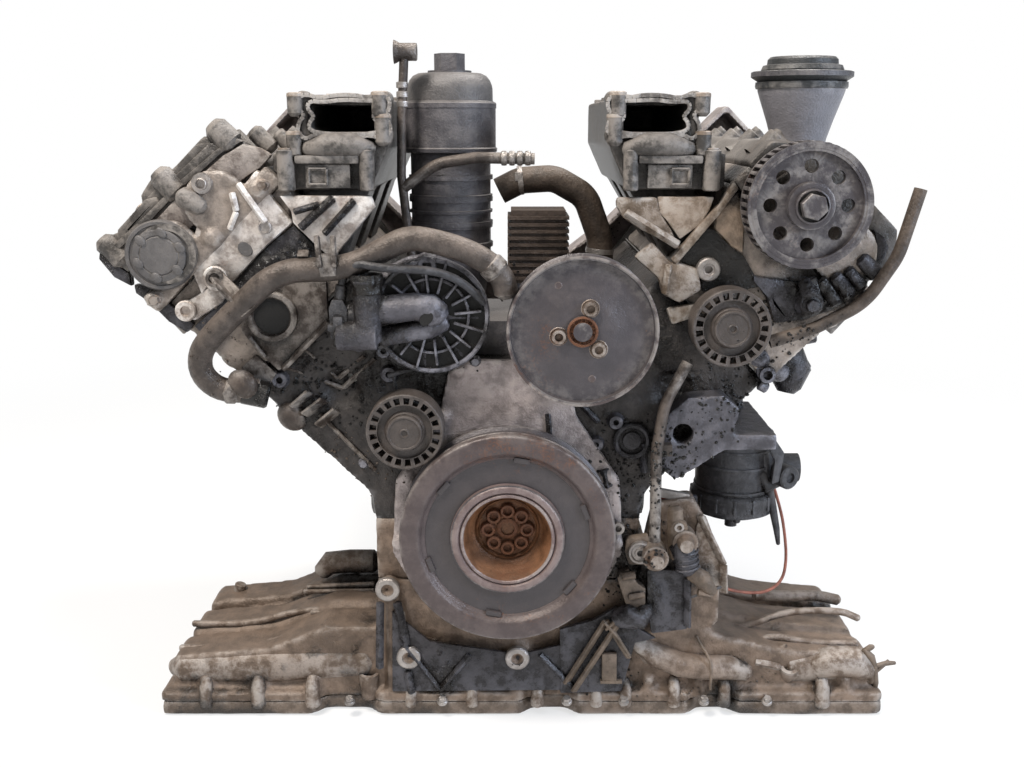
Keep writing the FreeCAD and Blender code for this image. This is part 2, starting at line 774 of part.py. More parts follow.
def valve_cover(bank, name):
    def shell(wall):
        return [
            (f"{bank} * (cover_outer - {wall})", f"frame_top - ({wall}) / 4"),
            (f"{bank} * (cover_outer - {wall})", f"cover_top - 16 - {wall} / 2"),
            (f"{bank} * (cover_outer - 16 - {wall} / 2)", f"cover_top - {wall}"),
            (f"{-bank} * (cover_inner - 30 - {wall} / 2)", f"cover_top - {wall}"),
            (f"{-bank} * (cover_inner - {wall})", f"cover_top - 26 - {wall} / 2"),
            (f"{-bank} * (cover_inner - {wall})", f"frame_top - ({wall}) / 4"),
        ]
    outside = prism(shell("0"), "-frame_front + 12.3", "-cover_rear", "cover_corner")
    inside = prism(shell("cover_wall"), "-frame_front + 12.3 + cover_wall", "-cover_rear - cover_wall")
    screws = []
    for number in (-0.5, 0.5, 1.5, 2.5):
        for spot in ("cover_outer - 8", "-(cover_inner - 8)"):
            screws.append(rod("z", "cover_boss", "frame_top", "cover_top - 8",
                              (f"{bank} * ({spot})", f"{cylinder_y(bank, number)} + 10")))
    ribs = [bank_box(bank, "cover_inner - 34", "cover_outer - 22", (f"{cylinder_y(bank, number)} - 3",
        f"{cylinder_y(bank, number)} + 3"),
                     ("cover_top - cover_wall", "cover_top + 5")) for number in (0, 1, 2)]
    shafts = [rod("y", "journal_radius + 1", "-frame_front", "-cover_rear + 1",
        (f"{across} * cam_half_gap", "cam_height"))
              for across in (-1, 1)]
    node(name, lean(cut(fuse(cut(outside, inside), *screws, *ribs), *shafts), bank))


def camshaft(bank, across, name):
    """A camshaft with a pair of lobes for each cylinder. Across is 1 on the exhaust side and -1 on the inlet side."""
    at = (f"{bank * across} * cam_half_gap", "cam_height")
    front = "-frame_front + 7"
    if name == "camshaft_right_inlet":
        front = "-belt_pulley_front + 12"
    rear = "-timing_front - 14"
    if across < 0:
        rear = "-timing_rear - timing_wall - 3"
    shaft = [rod("y", "cam_radius", front, rear, at)]
    for number in (1, 2, 3):
        shaft.append(rod("y", "journal_radius", f"{bridge_y(bank, number)} - 7",
            f"{bridge_y(bank, number)} + 7", at))
    shaft.append(rod("y", "journal_radius", "-frame_front + 7", "-frame_front + 13", at))
    for number in range(3):
        phase = 120 * number + 60 * across
        for along in (-1, 1):
            middle = f"{cylinder_y(bank, number)} + {along} * valve_half_gap"
            offset = "(lobe_radius - 15)"
            shaft.append(rod("y", "15", f"{middle} - 6", f"{middle} + 6",
                             (f"{at[0]} + {offset} * sin({phase})",
                                 f"cam_height + {offset} * cos({phase})")))
    shaft.append(place(gear("gear_teeth", "cam_half_gap", "gear_addendum", "gear_width", across > 0),
        at[0], "-frame_front + gear_inset", at[1]))
    if across < 0:
        plane = chain_plane(bank)
        shaft.append(rod("y", "2 * crank_sprocket", f"{plane} - chain_width / 2 + 1",
            f"{plane} + chain_width / 2 - 1", at))
    node(name, lean(fuse(*shaft), bank))


def gear(teeth, pitch_radius, addendum, width, shifted=False):
    """A spur gear about Y, from the origin to its width. A shifted one has its first gap where the first tooth was."""
    count = int(value(teeth))
    pitch = value(pitch_radius)
    height = value(addendum)
    step = 360 / count
    first = step / 2 if shifted else 0
    spots = []
    for tooth in range(count):
        for turn_by, radius in ((-0.29, pitch - height * 1.3), (-0.12, pitch + height),
            (0.12, pitch + height), (0.29, pitch - height * 1.3)):
            angle = math.radians(first + (tooth + turn_by) * step)
            spots.append(FreeCAD.Vector(radius * math.cos(angle), 0, radius * math.sin(angle)))
    face = Part.Face(Part.makePolygon(spots + spots[:1]))
    wheel = doc.addObject("Part::Feature", "gear")
    wheel.Shape = face.extrude(FreeCAD.Vector(0, value(width), 0))
    return wheel


def chain_plane(bank):
    return f"(-timing_front + chain_width * {1.25 if bank < 0 else 2.75})"


def timing_chains():
    """The two timing chains as plain bands, each round the crank sprocket and its bank's inlet sprocket."""
    bands = []
    for bank in (-1, 1):
        across = -bank * value("cam_half_gap")
        height = value("cam_height")
        length = math.hypot(across, height)
        small = value("crank_sprocket + seal_gap * 5")
        large = value("2 * crank_sprocket + seal_gap * 5")
        thick = value("chain_height")
        outside = loop_face(small + thick, large + thick, length)
        inside = loop_face(small, large, length)
        band = outside.cut(inside).extrude(FreeCAD.Vector(0, value("chain_width"), 0))
        band.rotate(FreeCAD.Vector(), FreeCAD.Vector(0, 1, 0), math.degrees(math.atan2(across, height)))
        band.rotate(FreeCAD.Vector(), FreeCAD.Vector(0, 1, 0), bank * value("half_angle"))
        band.translate(FreeCAD.Vector(0, value(f"{chain_plane(bank)} - chain_width / 2"), 0))
        bands.append(band)
    chains = doc.addObject("Part::Feature", "chains")
    chains.Shape = Part.makeCompound(bands)
    node("timing_chains", chains)


def loop_face(small, large, length):
    """The face inside a belt line round two circles in the XZ plane, one at the origin and one up Z."""
    lean_angle = math.asin((large - small) / length)
    sine, cosine = math.sin(lean_angle), math.cos(lean_angle)
    points = []
    for side in (1, -1):
        for radius, height in ((small, 0), (large, length)):
            points.append(FreeCAD.Vector(side * radius * cosine, 0, height - radius * sine))
    low_right, high_right, low_left, high_left = points
    edges = [
        Part.LineSegment(low_right, high_right).toShape(),
        Part.Arc(high_right, FreeCAD.Vector(0, 0, length + large), high_left).toShape(),
        Part.LineSegment(high_left, low_left).toShape(),
        Part.Arc(low_left, FreeCAD.Vector(0, 0, -small), low_right).toShape(),
    ]
    return Part.Face(Part.Wire(edges))


def crankshaft():
    pieces = [
        rod("y", "main_radius", "-block_front", "-timing_front", ("0", "0")),
        rod("y", "hub_disc", "-damper_seat", "-block_front", ("0", "0")),
        rod("y", "crank_sprocket - 4", "-timing_front", "-timing_front + chain_width * 4", ("0", "0")),
        rod("y", "flange_radius - 8", "-timing_front + chain_width * 4", "-flange_plate", ("0", "0")),
        rod("y", "flange_radius", "-flange_plate", "0", ("0", "0")),
    ]
    for bank in (-1, 1):
        plane = chain_plane(bank)
        pieces.append(rod("y", "crank_sprocket", f"{plane} - chain_width / 2 + 1",
            f"{plane} + chain_width / 2 - 1", ("0", "0")))
    for number in range(3):
        middle = f"-(first_bore - {number} * cylinder_gap)"
        for bank in (-1, 1):
            angle = pin_angle(bank, number)
            near = f"{middle} + {bank} * bank_offset"
            far = f"{middle} + {bank} * (bank_offset + web_thickness)"
            ends = (near, far) if bank > 0 else (far, near)
            pieces.append(web(ends, angle))
            pin_ends = (middle, near) if bank > 0 else (near, middle)
            pieces.append(spun(rod("y", "pin_radius", *pin_ends, ("0", "stroke / 2")), angle))
    bays = []
    for number in range(3):
        middle = f"-(first_bore - {number} * cylinder_gap)"
        reach = "(bank_offset + web_thickness)"
        bays.append(rod("y", "main_radius + 1", f"{middle} - {reach}", f"{middle} + {reach}", ("0", "0")))
    core = cut(pieces[0], *bays)
    drills = []
    for number in range(8):
        drills.append(rod("y", "flange_bolt_radius", "-flange_plate + 2", "1",
                          (f"flange_bolt_circle * cos({45 * number})",
                              f"flange_bolt_circle * sin({45 * number})")))
    nose = []
    for number in range(8):
        nose.append(rod("y", "damper_bolt_radius", "-damper_seat - 1", "-block_front - 1",
                        (f"damper_bolt_circle * cos({45 * number})",
                            f"damper_bolt_circle * sin({45 * number})")))
    node("crankshaft", cut(fuse(core, *pieces[1:]), *drills, *nose))


def pin_angle(bank, number):
    """The crankpin's angle from straight up, clockwise seen from the pulley end, with the front left piston at its top."""
    first = "-half_angle" if bank < 0 else "-half_angle - pin_split"
    turns = (0, -120, 120)[number]
    return f"({first} + {turns})"


def spun(thing, angle):
    holder = doc.addObject("Part::Compound", "spun")
    holder.Links = [thing]
    turn(holder, (0, 1, 0), value(angle))
    holder.setExpression("Placement.Rotation.Angle", linked(angle))
    return holder


def web(ends, angle):
    half = [(f"counterweight_radius * sin({degrees})",
        f"-counterweight_radius * cos({degrees})") for degrees in (20, 48, 72)]
    half += [("main_radius + 8", "0"), ("pin_radius + 3", "stroke / 2"),
        ("pin_radius * 0.55", "stroke / 2 + pin_radius * 0.9")]
    return spun(prism(mirrored(half), *ends), angle)


def piston(number, bank, place_in_bank, drop):
    """A piston at its height in the bore, with its three rings and its pin as separate solids."""
    top = f"(stroke / 2 + rod_length + crown_height - {drop})"
    bottom = f"({top} - crown_height - skirt_length)"
    at = ("0", cylinder_y(bank, place_in_bank))
    body = rod("z", "bore / 2 - running_gap", bottom, top, at)
    hollow = rod("z", "bore / 2 - piston_wall", f"{bottom} - 1", f"{top} - crown_thickness", at)
    bowl = rod("z", "bore / 4", f"{top} - 8", f"{top} + 1", at)
    pin_height = f"({top} - crown_height)"
    bosses = [rod("y", "piston_pin_radius + 6", f"{at[1]} + {ends[0]}", f"{at[1]} + {ends[1]}",
        ("0", pin_height))
              for ends in (("-bore / 2 + 6", "-bank_offset / 2 - 3"), ("bank_offset / 2 + 3",
                  "bore / 2 - 6"))]
    pin_hole = rod("y", "piston_pin_radius", f"{at[1]} - bore / 2", f"{at[1]} + bore / 2",
        ("0", pin_height))
    rings = []
    grooves = []
    for ring in range(3):
        high = f"({top} - 7 - {ring} * 6)"
        outer = rod("z", "bore / 2 - running_gap / 2", f"{high} - 2", high, at)
        rings.append(cut(outer, rod("z", "bore / 2 - 3", f"{high} - 3", f"{high} + 1", at)))
        slot = rod("z", "bore / 2 + 1", f"{high} - 2", high, at)
        grooves.append(cut(slot, rod("z", "bore / 2 - 3", f"{high} - 3", f"{high} + 1", at)))
    body = cut(fuse(cut(body, hollow, bowl), *bosses), pin_hole, *grooves)
    pin = rod("y", "piston_pin_radius", f"{at[1]} - bore / 2 + 4", f"{at[1]} + bore / 2 - 4",
        ("0", pin_height))
    node(f"piston_{number}", lean(group(body, pin, *rings), bank))


def balance_shaft():
    at = ("0", "balance_height")
    shaft = rod("y", "balance_radius * 0.6", "-block_front + 4", "-timing_front", at)
    weights = [cut(rod("y", "balance_radius", start, end, at),
                   box(("-balance_radius", "balance_radius"), (start, end),
                       ("balance_height", "balance_height + balance_radius + 1")))
               for start, end in (("-block_front + 10", "-block_front + 60"),
                   ("-block_rear - 60", "-block_rear - 10"))]
    collars = [rod("y", "balance_radius", start, end, at)
               for start, end in (("-block_front + 4", "-block_front + 10"),
                   ("-block_rear - 10", "-block_rear - 1"))]
    node("balance_shaft", fuse(shaft, *weights, *collars))


def rear_timing_cover():
    def half(wall):
        def on_bank(height, across):
            return (f"({height}) * sin(half_angle) + ({across}) * cos(half_angle)",
                    f"({height}) * cos(half_angle) - ({across}) * sin(half_angle)")
        return [
            (f"crankcase_half - {wall}", f"-frame_depth + {wall}"),
            (f"crankcase_half - {wall}", f"skirt_top / 3"),
            (f"skirt_half - {wall}", "skirt_top"),
            on_bank(f"cover_top + 14 - {wall}", f"cam_half_gap + 28 - {wall}"),
            on_bank(f"cover_top + 14 - {wall}", f"-cover_inner - 9 + {wall}"),
            on_bank("deck", f"-cover_inner - 9 + {wall}"),
            (f"valley_half / 2 - {wall} / 2", f"valley_floor + 30 - {wall}"),
        ]
    outside = prism(mirrored(half("0")), "-block_rear + seat_gap / 3", "-timing_rear")
    inside = prism(mirrored(half("timing_wall")), "-block_rear - 1", "-timing_rear - timing_wall")
    seal = rod("y", "flange_radius - 8 + seal_gap", "-timing_front", "1", ("0", "0"))
    bosses = []
    for side in (-1, 1):
        for across, up in (("crankcase_half - 8", "-frame_depth + 8"), ("crankcase_half - 8",
            "skirt_top / 3"),
                           ("skirt_half - 12", "skirt_top + 4")):
            bosses.append(rod("y", "8", "-block_rear + seat_gap", "-timing_rear + 4",
                (f"{side} * ({across})", up)))
    node("rear_timing_cover", cut(fuse(cut(outside, inside), *bosses), seal))


def oil_pump():
    """The oil pump on the sump's front wall, with its pickup, and its rotor with the shaft and sprocket."""
    front = "-sump_front + sump_notch + sump_wall + seat_gap / 3"
    at = ("0", "-pump_depth")
    casing = box(("-rotor_radius - 20", "rotor_radius + 20"), (front, f"{front} + rotor_width + 12"),
        ("-pump_depth - rotor_radius - 8", "-pump_depth + rotor_radius + 6"))
    chamber = rod("y", "rotor_radius + 2 + running_gap", f"{front} + 6",
        f"{front} + 6 + rotor_width + running_gap", at)
    bore = rod("y", "pump_shaft + running_gap", f"{front} + 5", f"{front} + rotor_width + 13", at)
    pickup = rod("z", "9", "-sump_joint + 9", "-pump_depth - rotor_radius - 7",
        ("-rotor_radius", f"{front} + 16"))
    strainer = cone("z", "22", "12", "-sump_joint + 4", "-sump_joint + 12",
        ("-rotor_radius", f"{front} + 23"))
    node("oil_pump_housing", cut(fuse(casing, pickup, strainer), chamber, bore))
    rotor = place(gear("rotor_teeth", "rotor_radius", "rotor_addendum", "rotor_width"), at[0],
        f"{front} + 6", at[1])
    shaft = rod("y", "pump_shaft", f"{front} + 6", f"{front} + rotor_width + 30", at)
    sprocket = rod("y", "20", f"{front} + rotor_width + 18", f"{front} + rotor_width + 26", at)
    node("oil_pump_rotor", fuse(rotor, shaft, sprocket))


def oil_senders():
    """The two oil senders beside the damper, one on the bearing frame's edge and one on the tower."""
    senders = []
    for x, z, reach in (("134", "-27", "30"), ("161", "-14", "24")):
        seat = "-block_front - seat_gap * 4 / 3"
        foot = rod("y", "9", f"{seat} - 8", seat, (x, z))
        shell = rod("y", "11.5", f"{seat} - {reach}", f"{seat} - 7", (x, z))
        tip = cone("y", "6", "8.5", f"{seat} - {reach} - 9", f"{seat} - {reach} + 1", (x, z))
        senders.append(fuse(foot, shell, tip))
    node("oil_senders", group(*senders))


def front_cover():
    half = [
        ("crankcase_half - 30", "-frame_depth + 4"),
        ("crankcase_half - 16", "-frame_depth / 2"),
        ("crankcase_half - 20", "40"),
        ("62", "100"),
        ("50", "152"),
    ]
    plate = prism(mirrored(half), "-block_front - front_plate", "-block_front", "8")
    hole = rod("y", "hub_disc + seal_gap", "-block_front - 20", "-block_front + 1", ("0", "0"))
    seal = rod("y", "hub_disc + 14", "-block_front - front_plate - 2", "-block_front - 1", ("0", "0"))
    screws = []
    for across, up in (("44", "144"), ("-44", "144"), ("-58", "100"), ("-90", "44"), ("90", "44"),
        ("100", "-20"), ("-100", "-20")):
        screws.append(rod("y", "6.5", "-block_front - front_plate - 4", "-block_front - 1", (across, up)))
    room = rod("y", "coolant_radius + 1", "-block_front - 20", "-block_front + 1",
        ("coolant_x", "coolant_z"))
    node("front_cover", cut(fuse(plate, seal, *screws), hole, room))


def crank_damper():
    profile = [
        ("6", "-damper_seat - hub_thickness"), ("hub_disc", "-damper_seat - hub_thickness"),
        ("hub_disc + 5", "-damper_seat - hub_thickness - 4"), ("collar_inner - 3", "-damper_front + 12"),
        ("collar_inner", "-damper_front"), ("collar_outer", "-damper_front"),
        ("collar_outer", "-damper_front + ring_recess"), ("ring_inner", "-damper_front + ring_recess"),
        ("ring_inner", "-damper_front"), ("damper_radius - 2", "-damper_front"),
        ("damper_radius", "-damper_front + 2"), ("damper_radius", "-damper_front + 8"),
        ("damper_radius - groove_depth", "-damper_front + 10"), ("damper_radius - groove_depth",
            "-damper_front + damper_width - 6"),
        ("damper_radius", "-damper_front + damper_width - 4"), ("damper_radius",
            "-damper_front + damper_width"),
        ("ring_inner", "-damper_front + damper_width"), ("ring_inner", "-damper_front + ring_recess + 8"),
        ("collar_outer + 2", "-damper_front + ring_recess + 8"), ("hub_disc + 12",
            "-damper_seat - hub_thickness + 2"),
        ("hub_disc + 8", "-damper_seat"), ("6", "-damper_seat"),
    ]
    damper = drill_ring(turned(profile), "damper_bolt_circle", "damper_bolt_radius", 8)
    node("crank_damper", damper)


def bolt_ring(name, circle, shank, head, seat, depth, height, count, x="0", z="0", first=0):
    """Socket-head bolts on a circle, with their heads seated at seat and shanks going back by depth."""
    bolts = []
    for number in range(count):
        angle = f"{first + 360 * number / count}"
        at = (f"{x} + {circle} * cos({angle})", f"{z} + {circle} * sin({angle})")
        body = fuse(rod("y", shank, seat, f"{seat} + {depth}", at), rod("y", head, f"{seat} - {height}",
            seat, at))
        bolts.append(cut(body, rod("y", f"({head}) * 0.55", f"{seat} - {height} - 1",
            f"{seat} - {height} / 2", at)))
    node(name, group(*bolts))


def steering_pump():
    at = ("pump_x", "pump_z")
    front = "-pump_pulley_front + 26"
    pieces = [
        rod("y", "38", front, "-block_front - front_plate - seat_gap", at),
        rod("y", "20", "-block_front - front_plate - 1", "-block_front + 22", at),
    ]
    node("steering_pump", cut(fuse(*pieces), rod("y", "9 + running_gap", f"{front} - 1",
        "-block_front + 16", at)))


def steering_pump_pulley():
    profile = [
        ("8", "-pump_pulley_front + 3"), ("pump_hub_radius", "-pump_pulley_front + 3"),
        ("pump_hub_radius", "-pump_pulley_front + 6"), ("pump_pulley_radius - 4",
            "-pump_pulley_front + 6"),
        ("pump_pulley_radius - 3", "-pump_pulley_front"), ("pump_pulley_radius", "-pump_pulley_front"),
        ("pump_pulley_radius", "-pump_pulley_front + 3"), ("pump_pulley_radius - groove_depth",
            "-pump_pulley_front + 5"),
        ("pump_pulley_radius - groove_depth", "-pump_pulley_front + 21"), ("pump_pulley_radius",
            "-pump_pulley_front + 23"),
        ("pump_pulley_radius - 6", "-pump_pulley_front + 23"), ("pump_pulley_radius - 8",
            "-pump_pulley_front + 9"),
        ("24", "-pump_pulley_front + 9"), ("24", "-pump_pulley_front + 12"), ("8",
            "-pump_pulley_front + 12"),
    ]
    disc = drill_ring(turned(profile, "pump_x", "pump_z"), "pump_bolt_circle", "4", 3)
    shaft = rod("y", "9", "-pump_pulley_front + 12", "-block_front + 15", ("pump_x", "pump_z"))
    plug = rod("y", "8", "-pump_pulley_front + 1", "-pump_pulley_front + 12", ("pump_x", "pump_z"))
    node("steering_pump_pulley", fuse(disc, shaft, plug))


def idler(name, x, z):
    """A ribbed plastic idler pulley with windows round its rim."""
    profile = [
        ("10", "-idler_front + 2"), ("16", "-idler_front + 2"), ("18", "-idler_front + 5"), ("24",
            "-idler_front + 5"),
        ("24", "-idler_front + 1"), ("idler_radius - 1", "-idler_front"), ("idler_radius",
            "-idler_front + 1"),
        ("idler_radius", "-idler_front + idler_width"), ("idler_radius - 3",
            "-idler_front + idler_width"),
        ("idler_radius - 3", "-idler_front + 10"), ("18", "-idler_front + 10"), ("18",
            "-idler_front + idler_width"),
        ("10", "-idler_front + idler_width"),
    ]
    wheel = turned(profile, x, z)
    sketch = sketch_on(wheel, "XZ_Plane", "window")
    outline(sketch, [("idler_radius - 9", "-2.2"), ("idler_radius - 3", "-2.8"),
        ("idler_radius - 3", "2.8"), ("idler_radius - 9", "2.2")])
    pocket = wheel.newObject("PartDesign::Pocket", "window_cut")
    pocket.Profile = sketch
    pocket.Type = 1
    pocket.Midplane = True
    doc.recompute()
    ring = wheel.newObject("PartDesign::PolarPattern", "windows")
    ring.Originals = [pocket]
    ring.Axis = (plane_of(wheel, "Y_Axis"), [""])
    ring.Angle = 360
    ring.Occurrences = 21
    wheel.Tip = ring
    doc.recompute()
    node(name, wheel)


def idler_axles():
    """The fixed axle of each idler, on its own boss."""
    axles = []
    for x, z, seat in (("idler_left_x", "idler_left_z", "block_front"),
        ("idler_right_x", "idler_right_z", "head_front")):
        axle = rod("y", "10 - running_gap", "-idler_front + 1", "-idler_front + idler_width + 1", (x, z))
        cap = rod("y", "12", "-idler_front - 3", "-idler_front + 1", (x, z))
        foot = rod("y", "15", "-idler_front + idler_width + 1", f"-{seat} - seat_gap / 3", (x, z))
        axles.append(cut(fuse(axle, cap, foot), rod("y", "3", "-idler_front - 4", "-idler_front + 3",
            (x, z))))
    node("idler_axles", group(*axles))


def coolant_pump():
    at = ("coolant_x", "coolant_z")
    shell = turned([
        ("0", "-coolant_front"), ("coolant_dome - 16", "-coolant_front"), ("coolant_dome",
            "-coolant_front + 8"),
        ("coolant_dome", "-coolant_front + 15"), ("coolant_radius", "-coolant_front + 15"),
        ("coolant_radius", "-block_front - seat_gap"), ("coolant_dome - 4", "-block_front - seat_gap"),
        ("coolant_dome - 4", "-coolant_front + 9"), ("coolant_dome - 18", "-coolant_front + 4"),
        ("0", "-coolant_front + 4"),
    ], *at)
    ribs = [spoke(angle, at) for angle in range(0, 360, 45)]
    hollow = rod("y", "coolant_dome - 4", "-coolant_front + 9", "-block_front", at)
    bearing = rod("y", "13", "-coolant_front + 3", "-coolant_front + 10", at)
    shaft_bore = rod("y", "8 + running_gap", "-coolant_front + 5", "-coolant_front + 11", at)
    node("coolant_pump_housing", cut(fuse(cut(fuse(shell, *ribs), hollow), bearing), shaft_bore))
    hub = rod("y", "8", "-coolant_front + 6", "-block_front - 2", at)
    disc = rod("y", "coolant_dome - 8", "-block_front - 5", "-block_front - 2", at)
    vanes = [vane(angle, at) for angle in range(0, 360, 60)]
    node("coolant_pump_impeller", fuse(hub, disc, *vanes))


def spoke(angle, at):
    blade = box(("14", "coolant_radius - 3"), ("-coolant_front - 1", "-coolant_front + 16"), ("-2", "2"))
    return place(spun(blade, f"{angle}"), at[0], "0", at[1])


def vane(angle, at):
    blade = box(("6", "coolant_dome - 9"), ("-coolant_front + 11", "-block_front - 4"), ("-1.5", "1.5"))
    return place(spun(blade, f"{angle}"), at[0], "0", at[1])


def thermostat_housing():
    at = ("thermostat_x", "thermostat_y")
    column = rod("z", "stub_radius", "coolant_z - 18", "stub_top", at)
    lip = rod("z", "stub_radius + 2", "stub_top - 6", "stub_top", at)
    foot = rod("y", "13", "thermostat_y", "-coolant_front + 15 - seat_gap",
        ("thermostat_x - 8", "coolant_z - 14"))
    body = rod("x", "13", "thermostat_x - 26", "thermostat_x + 8", ("thermostat_y", "coolant_z - 12"))
    bore = rod("z", "stub_radius - pipe_wall", "coolant_z - 8", "stub_top + 1", at)
    node("thermostat_housing", cut(fuse(column, lip, foot, body), bore))


def coolant_pipe():
    points = [
        ("-222", "-block_front - 17", "124"), ("-262", "-block_front - 25", "134"), ("-264",
            "-block_front - 31", "172"), ("-222", "-block_front - 39",
            "216"),
        ("-168", "-block_front - 41", "238"), ("thermostat_x", "-block_front - 41", "stub_top + 22"), (
            "-76", "-block_front - 39", "263"),
        ("-38", "-block_front - 35", "252"), ("-16", "-block_front - 26", "226"), ("-14",
            "-block_front - 23", "200"),
    ]
    pipe = tube(points, "coolant_pipe_radius", "pipe_bend")
    bore = tube(points, "coolant_pipe_radius - pipe_wall", "pipe_bend")
    stay = rod("y", "6", "-block_front - 37", "-head_front - seat_gap / 3", ("-226", "212"))
    node("coolant_pipe", cut(fuse(pipe, stay), bore))


def oil_filter():
    at = ("filter_x", "filter_y")
    wall_gap = "seat_gap * 2"
    base = prism(mirrored([
        (f"valley_half - {wall_gap}", f"valley_floor + seat_gap / 3"),
        (f"valley_half + module_top - valley_floor - {wall_gap} * 2", "module_top"),
    ]), "-module_front", "-module_rear")
    column = cone("z", "filter_radius - 8", "filter_radius", "module_top - 1", "filter_base", at)
    body = rod("z", "filter_radius", "filter_base", "filter_collar_low", at)
    collar = rod("z", "filter_collar", "filter_collar_low", "filter_rim", at)
    bands = [rod("z", "filter_radius + 2", f"filter_base + {height}", f"filter_base + {height} + 4",
        at) for height in (8, 28, 50, 70)]
    cooler_foot = box(("cooler_left + 4", "cooler_right - 4"), ("-cooler_front + 6", "-cooler_rear - 6"),
        ("module_top - 1", "cooler_low"))
    cavity = rod("z", "filter_radius - filter_wall", "filter_base + 8", "filter_rim + 1", at)
    node("oil_filter_housing", cut(fuse(base, column, body, collar, cooler_foot, *bands), cavity))
    element = rod("z", "filter_radius - filter_wall - 4", "filter_base + 8", "filter_rim - 14", at)
    node("oil_filter_element", cut(element, rod("z", "12", "filter_base + 7", "filter_rim - 13", at)))
    dome = cone("z", "filter_cap_radius + 3", "filter_cap_radius - 4", "filter_rim + seat_gap / 3",
        "filter_cap_top", at)
    neck = rod("z", "filter_radius - filter_wall - running_gap", "filter_rim - 12", "filter_rim + 2", at)
    crown = rod("z", "20", "filter_cap_top", "filter_cap_top + 4", at)
    node("oil_filter_cap", fuse(dome, neck, crown, hexagon("filter_hex", "filter_cap_top + 3",
        "filter_top", at)))


def hexagon(radius, low, high, at):
    points = [(f"{at[0]} + {radius} * cos({60 * corner})",
        f"{at[1]} + {radius} * sin({60 * corner})") for corner in range(6)]
    return slab(points, low, high)


def oil_cooler():
    core = box(("cooler_left + 3", "cooler_right - 3"), ("-cooler_front + 3", "-cooler_rear - 3"),
        ("cooler_low + seat_gap / 3", "cooler_top"))
    plates = [box(("cooler_left", "cooler_right"), ("-cooler_front", "-cooler_rear"),
                  (f"cooler_low + 3 + {number} * 6",
                      f"cooler_low + 6 + {number} * 6")) for number in range(10)]
    node("oil_cooler", fuse(core, *plates))


def breather_hose():
    points = [("filter_x + filter_radius + 8", "-286", "293"), ("12", "-286", "303"),
        ("44", "-286", "305"),
              ("74", "-284", "288"), ("88", "-282", "250"), ("91", "-280", "194")]
    node("breather_hose", tube(points, "12.5", "27", "9.5"))


def return_pipe():
    line = tube([("-90", "-342", "418"), ("-93", "-348", "360"), ("-94", "-352", "310"),
        ("-88", "-352", "250"), ("-78", "-352", "module_top + 8")], "4", "30")
    branch = tube([("-92", "-352", "300"), ("-62", "-353", "321"), ("-28", "-353", "326"),
        ("24", "-353", "325")], "5", "40")
    head = rod("x", "7", "-98", "-80", ("-342", "416"))
    foot = rod("z", "7", "module_top + seat_gap / 3", "module_top + 10", ("-78", "-352"))
    node("return_pipe", fuse(line, branch, head, foot))


def oil_filler_neck():
    at = ("filler_x", "filler_y")
    funnel = cone("z", "13", "30", "filler_low", "filler_flange_z - 8", at)
    rings = [rod("z", "30", "filler_flange_z - 9", "filler_flange_z - 5", at),
             rod("z", "36", "filler_flange_z - 5", "filler_flange_z", at),
             rod("z", "filler_flange", "filler_flange_z", "filler_flange_z + 4", at)]
    foot = leaning(box(("-74", "-34"), ("filler_y - 18", "filler_y + 18"), ("cover_top + seat_gap / 3",
        "cover_top + 6")), 1)
    under = leaning(box(("-130", "60"), ("filler_y - 50", "filler_y + 50"),
        ("cover_top - 60", "cover_top + seat_gap / 3")), 1)
    bore = rod("z", "11", "filler_low - 20", "filler_flange_z + 5", at)
    node("oil_filler_neck", cut(fuse(funnel, foot, *rings), under, bore))
    cap = rod("z", "filler_cap_radius", "filler_flange_z + 4 + seat_gap / 3", "filler_top", at)
    lip = rod("z", "filler_cap_radius + 5", "filler_flange_z + 4 + seat_gap / 3", "filler_flange_z + 8",
        at)
    stem = rod("z", "11 - running_gap", "filler_flange_z - 10", "filler_flange_z + 6", at)
    node("oil_filler_cap", fuse(cap, lip, stem))


def inlet_manifold(side, name, outer, inner):
    def at(x):
        return f"{side} * ({x})"
    clear = "(cover_inner + seat_gap) / sin(half_angle)"
    body = prism([
        (at(f"plenum_low - {clear}"), "plenum_low"), (at(f"{outer} + plenum_flank"),
            f"{outer} + plenum_flank + {clear}"),
        (at(f"{outer} + plenum_flank"), "plenum_low + 30"),
        (at(outer), "port_low"), (at(outer), "port_top - 2"),
        (at(inner), "port_top - 2"), (at(inner), "port_low - 8"),
        (at(f"{inner} + 16"), "plenum_low"),
    ], "-port_front + 8", "-plenum_rear")
    collar = prism([
        (at(f"{outer} + 3"), "port_low"), (at(f"{outer} + 3"), "port_top"),
        (at(f"{inner} - 3"), "port_top"), (at(f"{inner} - 3"), "port_low"),
    ], "-port_front", "-port_front + 10")
    bolts = [rod("y", "7", "-port_front", "-port_front + 16", (at(x), z))
             for x in (f"{outer} - 1", f"{inner} + 1") for z in ("port_low + 2", "port_top - 3")]
    runners = []
    for number in range(3):
        middle = cylinder_y(side, number)
        runners.append(prism([
            (at("(head_top - 27 - head_inner - seat_gap) * sin(half_angle)"),
                "(head_top - 27 + head_inner + seat_gap) * cos(half_angle)"),
            (at(f"{outer} + 9"), "plenum_low + 1"), (at(f"{inner} + 20"), "plenum_low + 1"),
            (at("(deck + 15 - head_inner - seat_gap) * sin(half_angle)"),
                "(deck + 15 + head_inner + seat_gap) * cos(half_angle)"),
        ], f"{middle} - 24", f"{middle} + 24"))
    bore = prism([
        (at(f"{outer} - port_wall"), "port_low + port_wall"), (at(f"{outer} - port_wall"),
            "port_top - port_wall"),
        (at(f"{inner} + port_wall"), "port_top - port_wall"), (at(f"{inner} + port_wall"),
            "port_low + port_wall"),
    ], "-port_front - 1", "-plenum_rear - 60")
    node(name, cut(fuse(body, collar, *bolts, *runners), bore))


